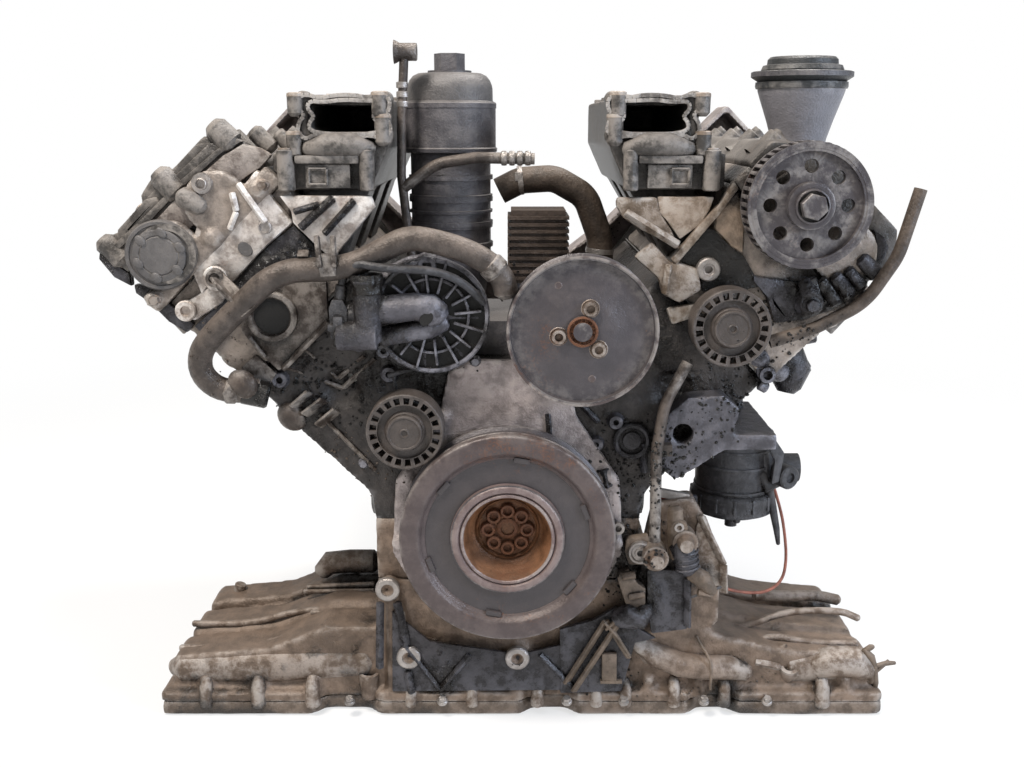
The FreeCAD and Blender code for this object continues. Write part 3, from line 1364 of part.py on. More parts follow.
def cam_end_cap():
    cap = turned([("0", "-frame_front - 7"), ("12", "-frame_front - 7"), ("14", "-frame_front - 4"),
        ("19", "-frame_front - 4"),
                  ("20", "-frame_front - 7"), ("cam_boss - 2", "-frame_front - 7"), ("cam_boss - 2",
                      "-frame_front - seat_gap / 3"),
                  ("0", "-frame_front - seat_gap / 3")], "-cam_half_gap", "cam_height")
    node("cam_end_cap", lean(group(cap), -1))


def cam_belt_pulley():
    at = ("-cam_half_gap", "cam_height")
    profile = [
        ("10", "-belt_pulley_front - 2"), ("19.5", "-belt_pulley_front - 2"), ("19.5",
            "-belt_pulley_front + 5"),
        ("44", "-belt_pulley_front + 5"), ("44", "-belt_pulley_front"), ("belt_pulley_radius",
            "-belt_pulley_front"),
        ("belt_pulley_radius", "-belt_pulley_front + 3"), ("belt_pulley_radius - groove_depth",
            "-belt_pulley_front + 3"),
        ("belt_pulley_radius - groove_depth", "-belt_pulley_front + belt_pulley_width - 3"),
        ("belt_pulley_radius", "-belt_pulley_front + belt_pulley_width - 3"), ("belt_pulley_radius",
            "-belt_pulley_front + belt_pulley_width"),
        ("44", "-belt_pulley_front + belt_pulley_width"), ("44", "-belt_pulley_front + 12"), ("19.5",
            "-belt_pulley_front + 12"), ("10", "-belt_pulley_front + 12"),
    ]
    wheel = drill_ring(turned(profile, *at), "belt_pulley_circle", "belt_pulley_hole", 8)
    node("cam_belt_pulley", lean(group(wheel), 1))
    head = hex_along_y("11", "-belt_pulley_front - 14", "-belt_pulley_front - 4", at)
    washer = rod("y", "14", "-belt_pulley_front - 5", "-belt_pulley_front - 2", at)
    shank = rod("y", "10", "-belt_pulley_front - 3", "-belt_pulley_front + 12", at)
    node("cam_pulley_bolt", lean(fuse(head, washer, shank), 1))


def hex_along_y(radius, front, back, at):
    points = [(f"{at[0]} + {radius} * cos({60 * corner})",
        f"{at[1]} + {radius} * sin({60 * corner})") for corner in range(6)]
    return prism(points, front, back)


def mount_bracket():
    plate = prism([("130", "62"), ("150", "46"), ("198", "78"), ("204", "112"), ("190", "124"),
        ("158", "122"), ("132", "98")],
                  "-block_front - 26", "-block_front - seat_gap", "6")
    arm = box(("194", "mount_x + 16"), ("-block_front - 26", "mount_y + 20"),
        ("mount_top + 4", "mount_top + 4 + arm_thickness"))
    hole = rod("y", "bracket_hole", "-block_front - 40", "-block_front + 1",
        ("bracket_hole_x", "bracket_hole_z"))
    stud_hole = rod("z", "mount_stud + 0.2", "mount_top", "mount_top + 30", ("mount_x", "mount_y"))
    node("mount_bracket", cut(fuse(plate, arm), hole, stud_hole))


def engine_mount():
    at = ("mount_x", "mount_y")
    body = rod("z", "mount_radius", "mount_low + 12", "mount_top - 6", at)
    dome = cone("z", "mount_radius", "mount_radius - 12", "mount_top - 6", "mount_top", at)
    ring = rod("z", "mount_radius + 3", "mount_low + 2", "mount_low + 12", at)
    pan = rod("z", "mount_radius - 6", "mount_low - 2", "mount_low + 3", at)
    collar = rod("z", "12", "mount_top - 1", "mount_top + 3.7", at)
    studs = [rod("z", "mount_stud", "mount_top", "mount_top + 12 + arm_thickness", at),
        rod("z", "mount_stud", "mount_low - 18", "mount_low", at)]
    boss = rod("x", "14", "mount_x + mount_radius - 6", "mount_x + mount_radius + 26", ("mount_y", "26"))
    node("engine_mount", fuse(body, dome, ring, pan, collar, *studs, boss))


def small_hoses():
    node("vent_hose", tube([("226", "-frame_front - 9.6", "172"), ("264", "-frame_front - 9.6", "184"),
        ("306", "-frame_front - 9.6", "206"),
        ("331", "-frame_front - 9.6", "246"), ("346", "-frame_front - 7.6", "302")],
                           "5.5", "60", "3.5"))
    dipstick = tube([("156", "-frame_front - 10.5", "154"), ("136", "-frame_front - 18", "118"),
        ("130", "-frame_front - 22", "76"),
        ("131", "-frame_front - 22", "-6")], "5", "60")
    tab = box(("127", "144"), ("-frame_front - 20", "-block_front - 26 - seat_gap / 3"), ("72", "82"))
    node("dipstick_tube", fuse(dipstick, tab))


def mount_lead():
    """The sensor lead of the engine mount, hanging down and forward to the sump tower."""
    spots = [FreeCAD.Vector(*point) for point in LEAD_ROUTE]
    wire, bends = route(spots, 1000)
    lead = doc.addObject("Part::Feature", "lead")
    lead.Shape = swept(wire, spots, value("lead_radius"))
    section = math.pi * value("lead_radius") ** 2
    print("lead", round(wire.Length), "mm, bends", [round(bend, 1) for bend in bends],
          "volume over section times length", round(lead.Shape.Volume / section / wire.Length, 4))
    node("mount_lead", lead)


engine_block()
main_bearing_frame()
upper_sump()
lower_sump()
head_gaskets()
cylinder_head(-1, "cylinder_head_left")
cylinder_head(1, "cylinder_head_right")
valves()
cam_frame(-1, "cam_frame_left")
cam_frame(1, "cam_frame_right")
valve_cover(-1, "valve_cover_left")
valve_cover(1, "valve_cover_right")
camshaft(-1, -1, "camshaft_left_inlet")
camshaft(-1, 1, "camshaft_left_exhaust")
camshaft(1, -1, "camshaft_right_inlet")
camshaft(1, 1, "camshaft_right_exhaust")
timing_chains()
crankshaft()
for piston_number, (piston_bank, piston_place) in enumerate(((-1, 0), (-1, 1), (-1, 2), (1, 0), (1, 1),
    (1, 2)), start=1):
    piston(piston_number, piston_bank, piston_place, "0" if piston_number in (1, 6) else "73.5")
balance_shaft()
rear_timing_cover()
front_cover()
oil_pump()
oil_senders()
crank_damper()
bolt_ring("damper_bolts", "damper_bolt_circle", "damper_bolt_radius", "bolt_head",
    "(-damper_seat - hub_thickness)",
          "hub_thickness + 10", "6", 8)
steering_pump()
steering_pump_pulley()
bolt_ring("pump_pulley_bolts", "pump_bolt_circle", "4", "6", "(-pump_pulley_front + 6)", "6", "6", 3,
    "pump_x", "pump_z")
idler("idler_left", "idler_left_x", "idler_left_z")
idler("idler_right", "idler_right_x", "idler_right_z")
idler_axles()
coolant_pump()
thermostat_housing()
coolant_pipe()
oil_filter()
oil_cooler()
breather_hose()
return_pipe()
oil_filler_neck()
inlet_manifold(-1, "inlet_manifold_left", "port_outer_left", "port_inner_left")
inlet_manifold(1, "inlet_manifold_right", "port_outer_right", "port_inner_right")
cam_end_cap()
cam_belt_pulley()
mount_bracket()
engine_mount()
small_hoses()
mount_lead()

doc.recompute()
for thing in doc.Objects:
    if {"Invalid", "Error"} & set(thing.State):
        raise RuntimeError(f"{thing.Name} {thing.Label} failed: {thing.State}")
os.makedirs("parts", exist_ok=True)
for thing in NODES:
    if thing.Shape.isNull() or not thing.Shape.isValid() or not thing.Shape.Solids:
        raise RuntimeError(f"{thing.Label} has no valid solid")
    thing.Shape.exportStep(f"parts/{thing.Label}.step")
print(len(NODES), "nodes")
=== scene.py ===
"""The looks of a used V6 engine: camera, light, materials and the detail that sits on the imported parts."""

import functools
import json
import math
import random

import bmesh
import bpy
from mathutils import Matrix, Vector
from mathutils.bvhtree import BVHTree


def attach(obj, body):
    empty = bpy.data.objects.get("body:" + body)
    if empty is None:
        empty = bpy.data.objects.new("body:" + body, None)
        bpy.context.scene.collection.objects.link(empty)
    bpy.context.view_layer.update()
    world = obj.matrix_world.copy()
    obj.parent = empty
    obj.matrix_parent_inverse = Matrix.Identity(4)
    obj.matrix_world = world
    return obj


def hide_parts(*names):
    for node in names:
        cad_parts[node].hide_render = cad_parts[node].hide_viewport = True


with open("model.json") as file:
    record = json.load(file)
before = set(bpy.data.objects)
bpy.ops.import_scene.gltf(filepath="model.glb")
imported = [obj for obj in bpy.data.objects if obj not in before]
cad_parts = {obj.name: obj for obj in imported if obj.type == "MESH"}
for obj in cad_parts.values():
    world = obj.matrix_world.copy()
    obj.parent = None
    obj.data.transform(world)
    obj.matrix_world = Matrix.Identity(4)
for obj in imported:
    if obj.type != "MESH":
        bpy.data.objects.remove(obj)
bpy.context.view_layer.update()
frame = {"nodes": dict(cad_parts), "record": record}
nodes = frame["nodes"]

MM = 0.001
SLANT = math.sqrt(0.5)
CAMERA_PLACE = (4, -1329, 355)
CAMERA_PITCH = 13.5
LENS = 38.1
HEAD_TOP = 352
FRAME_TOP = 371
COVER_TOP = 426
FIRST_BORE = 324
BORE_GAP = 90
BANK_SHIFT = 9
PORT_SHIFT = 14
FLOOR_HEIGHT = -0.1945
SHARP_ANGLE = 38

WHITE = (1, 1, 1, 1)
# Near-black of oil, also used to paint shade into corners and creases.
OIL_AND_SHADE_BLACK = (0.012, 0.010, 0.009, 1)
TAN_DUST = (0.26, 0.205, 0.165, 1)
GREY_DUST = (0.26, 0.235, 0.215, 1)
RUST = (0.16, 0.062, 0.026, 1)


def mm(x, y, z):
    return Vector((x, y, z)) * MM


def on_bank(bank, out, y, height):
    """A point of a bank in millimetres: out is towards the exhaust side, height is along the bores."""
    return Vector((bank * (out + height) * SLANT, y, (height - out) * SLANT))


def bore_y(bank, number):
    return -(FIRST_BORE - bank * BANK_SHIFT - number * BORE_GAP)


# Materials

def add(tree, kind, sockets=None, **settings):
    """A shader node with its settings, and with its sockets set to numbers or linked to other sockets."""
    made = tree.nodes.new(kind)
    for name, setting in settings.items():
        setattr(made, name, setting)
    for name, given in (sockets or {}).items():
        if isinstance(given, bpy.types.NodeSocket):
            tree.links.new(given, made.inputs[name])
        else:
            made.inputs[name].default_value = given
    return made


def math_node(tree, operation, first, second=0.0, clamp=False):
    return add(tree, "ShaderNodeMath", {0: first, 1: second}, operation=operation,
               use_clamp=clamp).outputs[0]


def ramp(tree, value, low, high, out_low=0.0, out_high=1.0):
    """A smooth step of a value from low to high."""
    made = add(tree, "ShaderNodeMapRange", {"Value": value, "From Min": low, "From Max": high,
                                            "To Min": out_low, "To Max": out_high},
               interpolation_type="SMOOTHSTEP")
    return made.outputs[0]


def blend(tree, factor, first, second):
    """The colour between two others that a factor from 0 to 1 gives."""
    made = add(tree, "ShaderNodeMix", data_type="RGBA")
    for index, given in ((0, factor), (6, first), (7, second)):
        if isinstance(given, bpy.types.NodeSocket):
            tree.links.new(given, made.inputs[index])
        else:
            made.inputs[index].default_value = given
    return made.outputs[2]


def blotches(tree, place, scale, detail=5.0, rough=0.6):
    return add(tree, "ShaderNodeTexNoise", {"Vector": place, "Scale": scale, "Detail": detail,
                                            "Roughness": rough}).outputs["Fac"]


def shade(colour, factor):
    return tuple(min(part * factor, 1.0) for part in colour[:3]) + (1,)


M = {}


def soiled_with_painted_shade(name, colour, metallic=0.0, rough=0.6, dust=0.4, dust_colour=GREY_DUST, oil_and_corner_shade=0.3, wear=0.0,
           bare=(0.46, 0.43, 0.40, 1), rust=0.0, grain=0.3, crust=0.2, spread=0.35, patch=0.45):
    """A used surface, kept in M: a base that varies, dust on top, oil in runs, shade painted into corners and
    creases from ambient occlusion (mixed with the oil), and worn edges.
    """
    material = bpy.data.materials.new(name)
    material.use_nodes = True
    tree = material.node_tree
    tree.nodes.clear()

    def times(first, second, clamp=False):
        return math_node(tree, "MULTIPLY", first, second, clamp)

    def plus(first, second, clamp=False):
        return math_node(tree, "ADD", first, second, clamp)

    def minus(first, second):
        return math_node(tree, "SUBTRACT", first, second)

    place = add(tree, "ShaderNodeTexCoord").outputs["Object"]
    geometry = add(tree, "ShaderNodeNewGeometry")
    wide = blotches(tree, place, 11.0, 6.0, 0.62)
    middle = blotches(tree, place, 65.0, 6.0, 0.68)
    fine = blotches(tree, place, 520.0, 3.0, 0.6)
    clots = add(tree, "ShaderNodeTexVoronoi", {"Vector": place, "Scale": 150.0, "Randomness": 1.0},
                feature="SMOOTH_F1").outputs["Distance"]
    up = add(tree, "ShaderNodeSeparateXYZ", {0: geometry.outputs["Normal"]}).outputs["Z"]
    # Ambient occlusion: low values mark corners and creases, where shade is painted into the colour below.
    corners = add(tree, "ShaderNodeAmbientOcclusion", {"Distance": 0.028}, samples=6).outputs["AO"]
    uneven = minus(middle, 0.5)
    colour_now = blend(tree, ramp(tree, middle, 0.34, 0.66), shade(colour, 1 - spread),
                       shade(colour, 1 + spread))
    colour_now = blend(tree, times(ramp(tree, wide, 0.42, 0.7), patch), colour_now, shade(colour, 0.45))
    if rust:
        rust_mask = times(ramp(tree, plus(wide, times(fine, 0.35)), 0.78 - 0.3 * rust, 0.98 - 0.3 * rust),
                          0.85)
        colour_now = blend(tree, rust_mask, colour_now, RUST)
    dust_mask = times(ramp(tree, plus(up, times(uneven, 2.2)), -0.25, 0.95), dust, True)
    colour_now = blend(tree, dust_mask, colour_now, dust_colour)
    if wear:
        edge = ramp(tree, geometry.outputs["Pointiness"], 0.515, 0.57)
        worn = times(times(edge, ramp(tree, middle, 0.4, 0.6)), wear, True)
        colour_now = blend(tree, worn, colour_now, bare)
    # The oil mask is partly real oil (wide blotches) and partly painted shade: low ambient occlusion in
    # corners and creases darkens the colour towards near-black, as shade would.
    wet = plus(times(minus(1.0, corners), 0.75), times(ramp(tree, wide, 0.46, 0.62), 0.55))
    wet = ramp(tree, plus(wet, times(uneven, 0.7)), 0.95 - 0.8 * oil_and_corner_shade, 1.25 - 0.8 * oil_and_corner_shade)
    colour_now = blend(tree, times(wet, 0.9), colour_now, OIL_AND_SHADE_BLACK)
    rough_now = plus(rough - 0.12, times(middle, 0.24))
    rough_now = plus(rough_now, times(dust_mask, 0.25), True)
    rough_now = ramp(tree, wet, 0.0, 1.0, rough_now, ramp(tree, fine, 0.35, 0.65, 0.2, 0.42))
    height = plus(times(middle, 0.5), times(fine, grain))
    height = plus(height, times(times(minus(1.0, clots), plus(wet, 0.15)), crust * 2.0))
    bump = add(tree, "ShaderNodeBump", {"Height": height, "Strength": 0.9, "Distance": 0.002})
    shader = add(tree, "ShaderNodeBsdfPrincipled", {"Base Color": colour_now, "Roughness": rough_now,
                                                    "Normal": bump.outputs["Normal"], "Metallic": metallic})
    shader.inputs["Specular IOR Level"].default_value = 0.42
    if metallic and (wear or dust):
        clean = minus(1.0, math_node(tree, "MAXIMUM", dust_mask, wet))
        tree.links.new(times(clean, metallic), shader.inputs["Metallic"])
    add(tree, "ShaderNodeOutputMaterial", {"Surface": shader.outputs[0]})
    M[name] = material


soiled_with_painted_shade("block_casting", (0.036, 0.031, 0.029), 0.2, 0.4, 0.1, GREY_DUST, 0.85, 0.5, (0.34, 0.34, 0.36, 1),
       crust=1.0)
soiled_with_painted_shade("block_brown", (0.066, 0.05, 0.041), 0.2, 0.38, 0.1, TAN_DUST, 0.6, 0.45, crust=0.6)
soiled_with_painted_shade("lower_casting", (0.165, 0.118, 0.087), 0.3, 0.42, 0.32, TAN_DUST, 0.56, 0.6, crust=0.6)
soiled_with_painted_shade("sump_pan", (0.15, 0.115, 0.09), 0.35, 0.48, 0.4, TAN_DUST, 0.45, 0.55, crust=0.5)
soiled_with_painted_shade("head_aluminium", (0.26, 0.22, 0.19), 0.4, 0.42, 0.22, GREY_DUST, 0.52, 0.8, (0.6, 0.56, 0.52, 1),
       crust=0.4)
soiled_with_painted_shade("head_bright", (0.45, 0.39, 0.35), 0.35, 0.4, 0.3, (0.42, 0.33, 0.26, 1), 0.3, 0.9,
       (0.78, 0.75, 0.72, 1), rust=0.12, crust=0.2)
soiled_with_painted_shade("head_tan", (0.3, 0.23, 0.175), 0.2, 0.45, 0.3, TAN_DUST, 0.25, 0.6, crust=0.2)
soiled_with_painted_shade("frame_dirty", (0.17, 0.14, 0.125), 0.3, 0.42, 0.3, TAN_DUST, 0.45, 0.7, crust=0.4)
soiled_with_painted_shade("port_rim", (0.2, 0.18, 0.165), 0.2, 0.42, 0.5, GREY_DUST, 0.2, 0.6, crust=0.1)
soiled_with_painted_shade("cover_plastic", (0.07, 0.063, 0.057), 0.0, 0.38, 0.5, GREY_DUST, 0.4, 0.55, (0.3, 0.27, 0.245, 1),
       crust=0.2)
soiled_with_painted_shade("cover_aluminium", (0.37, 0.32, 0.31), 0.4, 0.42, 0.2, GREY_DUST, 0.36, 0.7)
soiled_with_painted_shade("bracket_aluminium", (0.085, 0.082, 0.094), 0.35, 0.36, 0.12, GREY_DUST, 0.72, 0.5,
       (0.3, 0.3, 0.34, 1), crust=0.8)
soiled_with_painted_shade("housing_plastic", (0.088, 0.083, 0.09), 0.0, 0.36, 0.45, GREY_DUST, 0.28, spread=0.2)
soiled_with_painted_shade("filler_plastic", (0.19, 0.185, 0.2), 0.0, 0.4, 0.3, GREY_DUST, 0.12, 0.3, spread=0.1, patch=0.2)
soiled_with_painted_shade("filler_dark", (0.036, 0.038, 0.04), 0.0, 0.36, 0.12, GREY_DUST, 0.15, 0.3, spread=0.15)
soiled_with_painted_shade("idler_plastic", (0.054, 0.044, 0.039), 0.0, 0.42, 0.1, TAN_DUST, 0.2, 0.4, (0.13, 0.11, 0.1, 1),
       spread=0.15, patch=0.2)
soiled_with_painted_shade("pulley_steel", (0.066, 0.059, 0.064), 0.25, 0.38, 0.1, TAN_DUST, 0.05, 0.3, rust=0.04, grain=0.1,
       crust=0.0, spread=0.08, patch=0.12)
soiled_with_painted_shade("ring_steel", (0.085, 0.066, 0.065), 0.25, 0.38, 0.12, TAN_DUST, 0.05, 0.4, rust=0.14, grain=0.12,
       crust=0.0, spread=0.12, patch=0.15)
soiled_with_painted_shade("collar_steel", (0.17, 0.125, 0.12), 0.25, 0.38, 0.12, TAN_DUST, 0.05, 0.4, rust=0.1, grain=0.12,
       crust=0.0, spread=0.12, patch=0.15)
soiled_with_painted_shade("machined_steel", (0.42, 0.41, 0.39), 0.85, 0.35, 0.1, GREY_DUST, 0.15, spread=0.12)
soiled_with_painted_shade("piston_alloy", (0.45, 0.44, 0.42), 0.85, 0.4, 0.1, GREY_DUST, 0.15, spread=0.12)
soiled_with_painted_shade("bolt_steel", (0.2, 0.155, 0.125), 0.6, 0.4, 0.15, TAN_DUST, 0.25, 0.5, rust=0.35)
soiled_with_painted_shade("gasket_steel", (0.3, 0.29, 0.28), 0.6, 0.4, 0.1, GREY_DUST, 0.35)
soiled_with_painted_shade("pipe_metal", (0.075, 0.061, 0.053), 0.3, 0.38, 0.25, TAN_DUST, 0.38, 0.4, crust=0.3)
soiled_with_painted_shade("cooler_aluminium", (0.052, 0.036, 0.027), 0.2, 0.45, 0.12, TAN_DUST, 0.45, crust=0.8)
soiled_with_painted_shade("hose_rubber", (0.062, 0.045, 0.034), 0.0, 0.46, 0.28, TAN_DUST, 0.35, crust=0.3)
soiled_with_painted_shade("mount_rubber", (0.034, 0.034, 0.039), 0.0, 0.38, 0.22, GREY_DUST, 0.5, 0.3, (0.11, 0.11, 0.12, 1),
       crust=0.8)
soiled_with_painted_shade("lead_insulation", (0.28, 0.1, 0.07), 0.0, 0.6, 0.1, TAN_DUST, 0.05)
soiled_with_painted_shade("filter_paper", (0.5, 0.38, 0.22), 0.0, 0.8, 0.1, TAN_DUST, 0.2)
soiled_with_painted_shade("impeller_plastic", (0.1, 0.1, 0.1), 0.0, 0.5, 0.1, TAN_DUST, 0.2)
soiled_with_painted_shade("bare_silver", (0.36, 0.33, 0.31), 0.7, 0.34, 0.1, GREY_DUST, 0.3, spread=0.25)
soiled_with_painted_shade("rusty", (0.115, 0.048, 0.026), 0.15, 0.6, 0.12, TAN_DUST, 0.22, rust=0.7, crust=0.4)
soiled_with_painted_shade("annulus_paint", (0.056, 0.049, 0.051), 0.1, 0.38, 0.05, TAN_DUST, 0.05, rust=0.05, grain=0.08,
       crust=0.0, spread=0.06, patch=0.1)
# Near-black glossy oil; also painted as the shade in the hollow of the right head.
soiled_with_painted_shade("thin_oil_and_shade", (0.012, 0.011, 0.01), 0.0, 0.24, 0.0, TAN_DUST, 0.85, crust=1.0)
soiled_with_painted_shade("bowl_rust", (0.165, 0.074, 0.033), 0.1, 0.5, 0.1, TAN_DUST, 0.1, rust=0.35, grain=0.35, crust=0.1)
soiled_with_painted_shade("cap_plastic", (0.1, 0.094, 0.093), 0.0, 0.36, 0.25, GREY_DUST, 0.12, crust=0.0, spread=0.12)
# Near-black, painted as the shade inside holes and behind ribs.
soiled_with_painted_shade("painted_cavity_shade", (0.006, 0.0055, 0.005), 0.0, 0.6, 0.0, GREY_DUST, 0.2)
# Dark wet casting; also the near-black plate painted as the shade of the sump's middle recess.
soiled_with_painted_shade("wet_casting_and_shade", (0.024, 0.022, 0.025), 0.2, 0.28, 0.05, GREY_DUST, 0.85, 0.45, (0.13, 0.13, 0.15, 1),
       crust=1.0)
soiled_with_painted_shade("head_stained", (0.2, 0.15, 0.11), 0.3, 0.42, 0.3, TAN_DUST, 0.45, 0.7, crust=0.5)
soiled_with_painted_shade("brown_plastic", (0.13, 0.096, 0.07), 0.0, 0.5, 0.3, TAN_DUST, 0.4, crust=0.5)
soiled_with_painted_shade("crust_dirt", (0.06, 0.046, 0.036), 0.0, 0.5, 0.2, TAN_DUST, 0.4, crust=0.4)
soiled_with_painted_shade("sealant_red", (0.26, 0.05, 0.035), 0.0, 0.6, 0.1, TAN_DUST, 0.2)

SLOTS = {subpart["node"]: subpart["material_slot"] for subpart in frame["record"]["subparts"]}
for part_name, slot_name in SLOTS.items():
    part = nodes[part_name]
    part.data.materials.clear()
    part.data.materials.append(M[slot_name])


# Camera, light and stage

def make_camera():
    """The camera that the photograph's perspective gives."""
    camera = bpy.data.objects.new("camera", bpy.data.cameras.new("camera"))
    bpy.context.scene.collection.objects.link(camera)
    camera.data.lens = LENS
    camera.data.sensor_width = 36
    camera.location = mm(*CAMERA_PLACE)
    camera.rotation_euler = (math.radians(90 - CAMERA_PITCH), 0, 0)
    bpy.context.scene.camera = camera


def make_lead():
    """The thin lead of the engine mount, along the same points as its solid."""
    route = [(258, -326, 14), (266, -330, -10), (270, -336, -34), (271, -344, -57), (266, -353, -75),
             (250, -360, -84), (230, -364, -83), (212, -368, -78), (199.5, -372, -72)]
    lead = wire_piece("mount_lead_sheath", route, 1.5, "lead_insulation")
    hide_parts("mount_lead")


def wire_piece(name, points, radius, material):
    """A wire or thin tube of the block, along a smooth NURBS line with the points as its control points."""
    curve = bpy.data.curves.new(name, "CURVE")
    curve.dimensions = "3D"
    spline = curve.splines.new("NURBS")
    spline.points.add(len(points) - 1)
    for spot, point in zip(spline.points, points):
        spot.co = (*mm(*point), 1)
    spline.order_u = 3
    spline.use_endpoint_u = True
    curve.resolution_u = 10
    curve.bevel_depth = radius * MM
    curve.bevel_resolution = 4
    curve.use_fill_caps = True
    made = bpy.data.objects.new(name, curve)
    bpy.context.scene.collection.objects.link(made)
    curve.materials.append(M[material])
    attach(made, "block")
    return made


def lamp(name, place, target, size, watts, colour=(1, 1, 1)):
    light = bpy.data.lights.new(name, "AREA")
    light.shape = "DISK"
    light.size = size
    light.energy = watts
    light.color = colour
    made = bpy.data.objects.new(name, light)
    made.location = place
    made.rotation_euler = (Vector(target) - Vector(place)).to_track_quat("-Z", "Y").to_euler()
    bpy.context.scene.collection.objects.link(made)


def make_stage():
    """A white floor that keeps the shadow, a white world and three lamps."""
    bpy.ops.mesh.primitive_plane_add(size=30, location=(0, 0, FLOOR_HEIGHT))
    floor = bpy.context.object
    floor.name = "floor"
    material = bpy.data.materials.new("floor")
    material.use_nodes = True
    tree = material.node_tree
    tree.nodes.clear()
    path = add(tree, "ShaderNodeLightPath")
    seen = math_node(tree, "MAXIMUM", path.outputs["Is Camera Ray"], path.outputs["Is Glossy Ray"])
    seen = math_node(tree, "MAXIMUM", seen, path.outputs["Is Transmission Ray"])
    spot = add(tree, "ShaderNodeTexCoord").outputs["Object"]
    away = add(tree, "ShaderNodeVectorMath", {0: spot}, operation="LENGTH").outputs["Value"]
    plain = add(tree, "ShaderNodeBsdfDiffuse", {"Color": (0.88, 0.88, 0.88, 1)})
    glow = add(tree, "ShaderNodeEmission", {"Color": WHITE, "Strength": 1.0})
    share = math_node(tree, "MULTIPLY", seen, ramp(tree, away, 0.5, 1.6, 0.66, 1.0))
    lift = add(tree, "ShaderNodeMixShader", {0: share, 1: plain.outputs[0], 2: glow.outputs[0]})
    add(tree, "ShaderNodeOutputMaterial", {"Surface": lift.outputs[0]})
    floor.data.materials.append(material)
    world = bpy.data.worlds.new("studio")
    bpy.context.scene.world = world
    world.use_nodes = True
    tree = world.node_tree
    tree.nodes.clear()
    path = add(tree, "ShaderNodeLightPath")
    seen = math_node(tree, "MAXIMUM", path.outputs["Is Camera Ray"], path.outputs["Is Transmission Ray"])
    strength = ramp(tree, seen, 0.0, 1.0, 0.4, 1.0)
    back = add(tree, "ShaderNodeBackground", {"Color": WHITE, "Strength": strength})
    add(tree, "ShaderNodeOutputWorld", {"Surface": back.outputs[0]})
    lamp("key", (-0.75, -1.15, 1.9), (0, -0.3, 0.1), 0.55, 50, (1, 0.94, 0.87))
    lamp("top", (0.55, 0.15, 1.8), (0, -0.25, 0.1), 0.6, 26, (1, 0.98, 0.95))
    lamp("side", (1.7, -1.3, 0.7), (0.1, -0.3, 0.05), 0.6, 26, (0.7, 0.82, 1.0))


bpy.context.scene.view_settings.view_transform = "Standard"
make_camera()
make_lead()
make_stage()


# Pieces

def finished(name, mesh_or_bm, material, body="block", replaces=()):
    """Turns a bmesh in millimetres, or a mesh in metres, into a piece that rides on a body."""
    if isinstance(mesh_or_bm, bmesh.types.BMesh):
        mesh = bpy.data.meshes.new(name)
        bmesh.ops.recalc_face_normals(mesh_or_bm, faces=mesh_or_bm.faces)
        mesh_or_bm.to_mesh(mesh)
        mesh_or_bm.free()
        mesh.transform(Matrix.Scale(MM, 4))
    else:
        mesh = mesh_or_bm
    mesh.materials.clear()
    mesh.materials.append(M[material])
    mesh.polygons.foreach_set("use_smooth", [True] * len(mesh.polygons))
    mesh.set_sharp_from_angle(angle=math.radians(SHARP_ANGLE))
    made = bpy.data.objects.new(name, mesh)
    bpy.context.scene.collection.objects.link(made)
    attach(made, body)
    if replaces:
        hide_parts(*replaces)


def cast(node, voxel, smooth, swell, lumps):
    """A copy of a casting with softened edges and an uneven skin, which stands for its solid.

    Voxel is the size of its cells and smooth the rounds of smoothing. Swell and lumps are the heights of
    the wide and the fine unevenness.
    """
    mesh = nodes[node].data.copy()
    welded = bmesh.new()
    welded.from_mesh(mesh)
    bmesh.ops.remove_doubles(welded, verts=welded.verts, dist=1e-5)
    welded.to_mesh(mesh)
    welded.free()
    made = bpy.data.objects.new(node + "_cast", mesh)
    bpy.context.scene.collection.objects.link(made)
    remesh = made.modifiers.new("remesh", "REMESH")
    remesh.mode = "VOXEL"
    remesh.voxel_size = voxel * MM
    relax = made.modifiers.new("relax", "SMOOTH")
    relax.iterations = smooth
    relax.factor = 0.5
    for scale, amount in ((0.05, swell), (0.009, lumps)):
        texture = bpy.data.textures.new(f"{node}_{scale}", "CLOUDS")
        texture.noise_scale = scale
        texture.noise_depth = 2
        push = made.modifiers.new("push", "DISPLACE")
        push.texture = texture
        push.texture_coords = "LOCAL"
        push.strength = amount * MM * 2
        push.mid_level = 0.5
    bpy.context.view_layer.update()
    evaluated = made.evaluated_get(bpy.context.evaluated_depsgraph_get())
    skin = bpy.data.meshes.new_from_object(evaluated)
    bpy.data.objects.remove(made)
    finished(node + "_cast", skin, SLOTS[node], replaces=[node])


# Small forms

FRONT = Vector((0, -1, 0))
UP = Vector((0, 0, 1))
PLUG_INSET = Vector((15, 0, 0))


def bank_up(bank):
    return Vector((bank * SLANT, 0, SLANT))


def bank_out(bank):
    return Vector((bank * SLANT, 0, -SLANT))


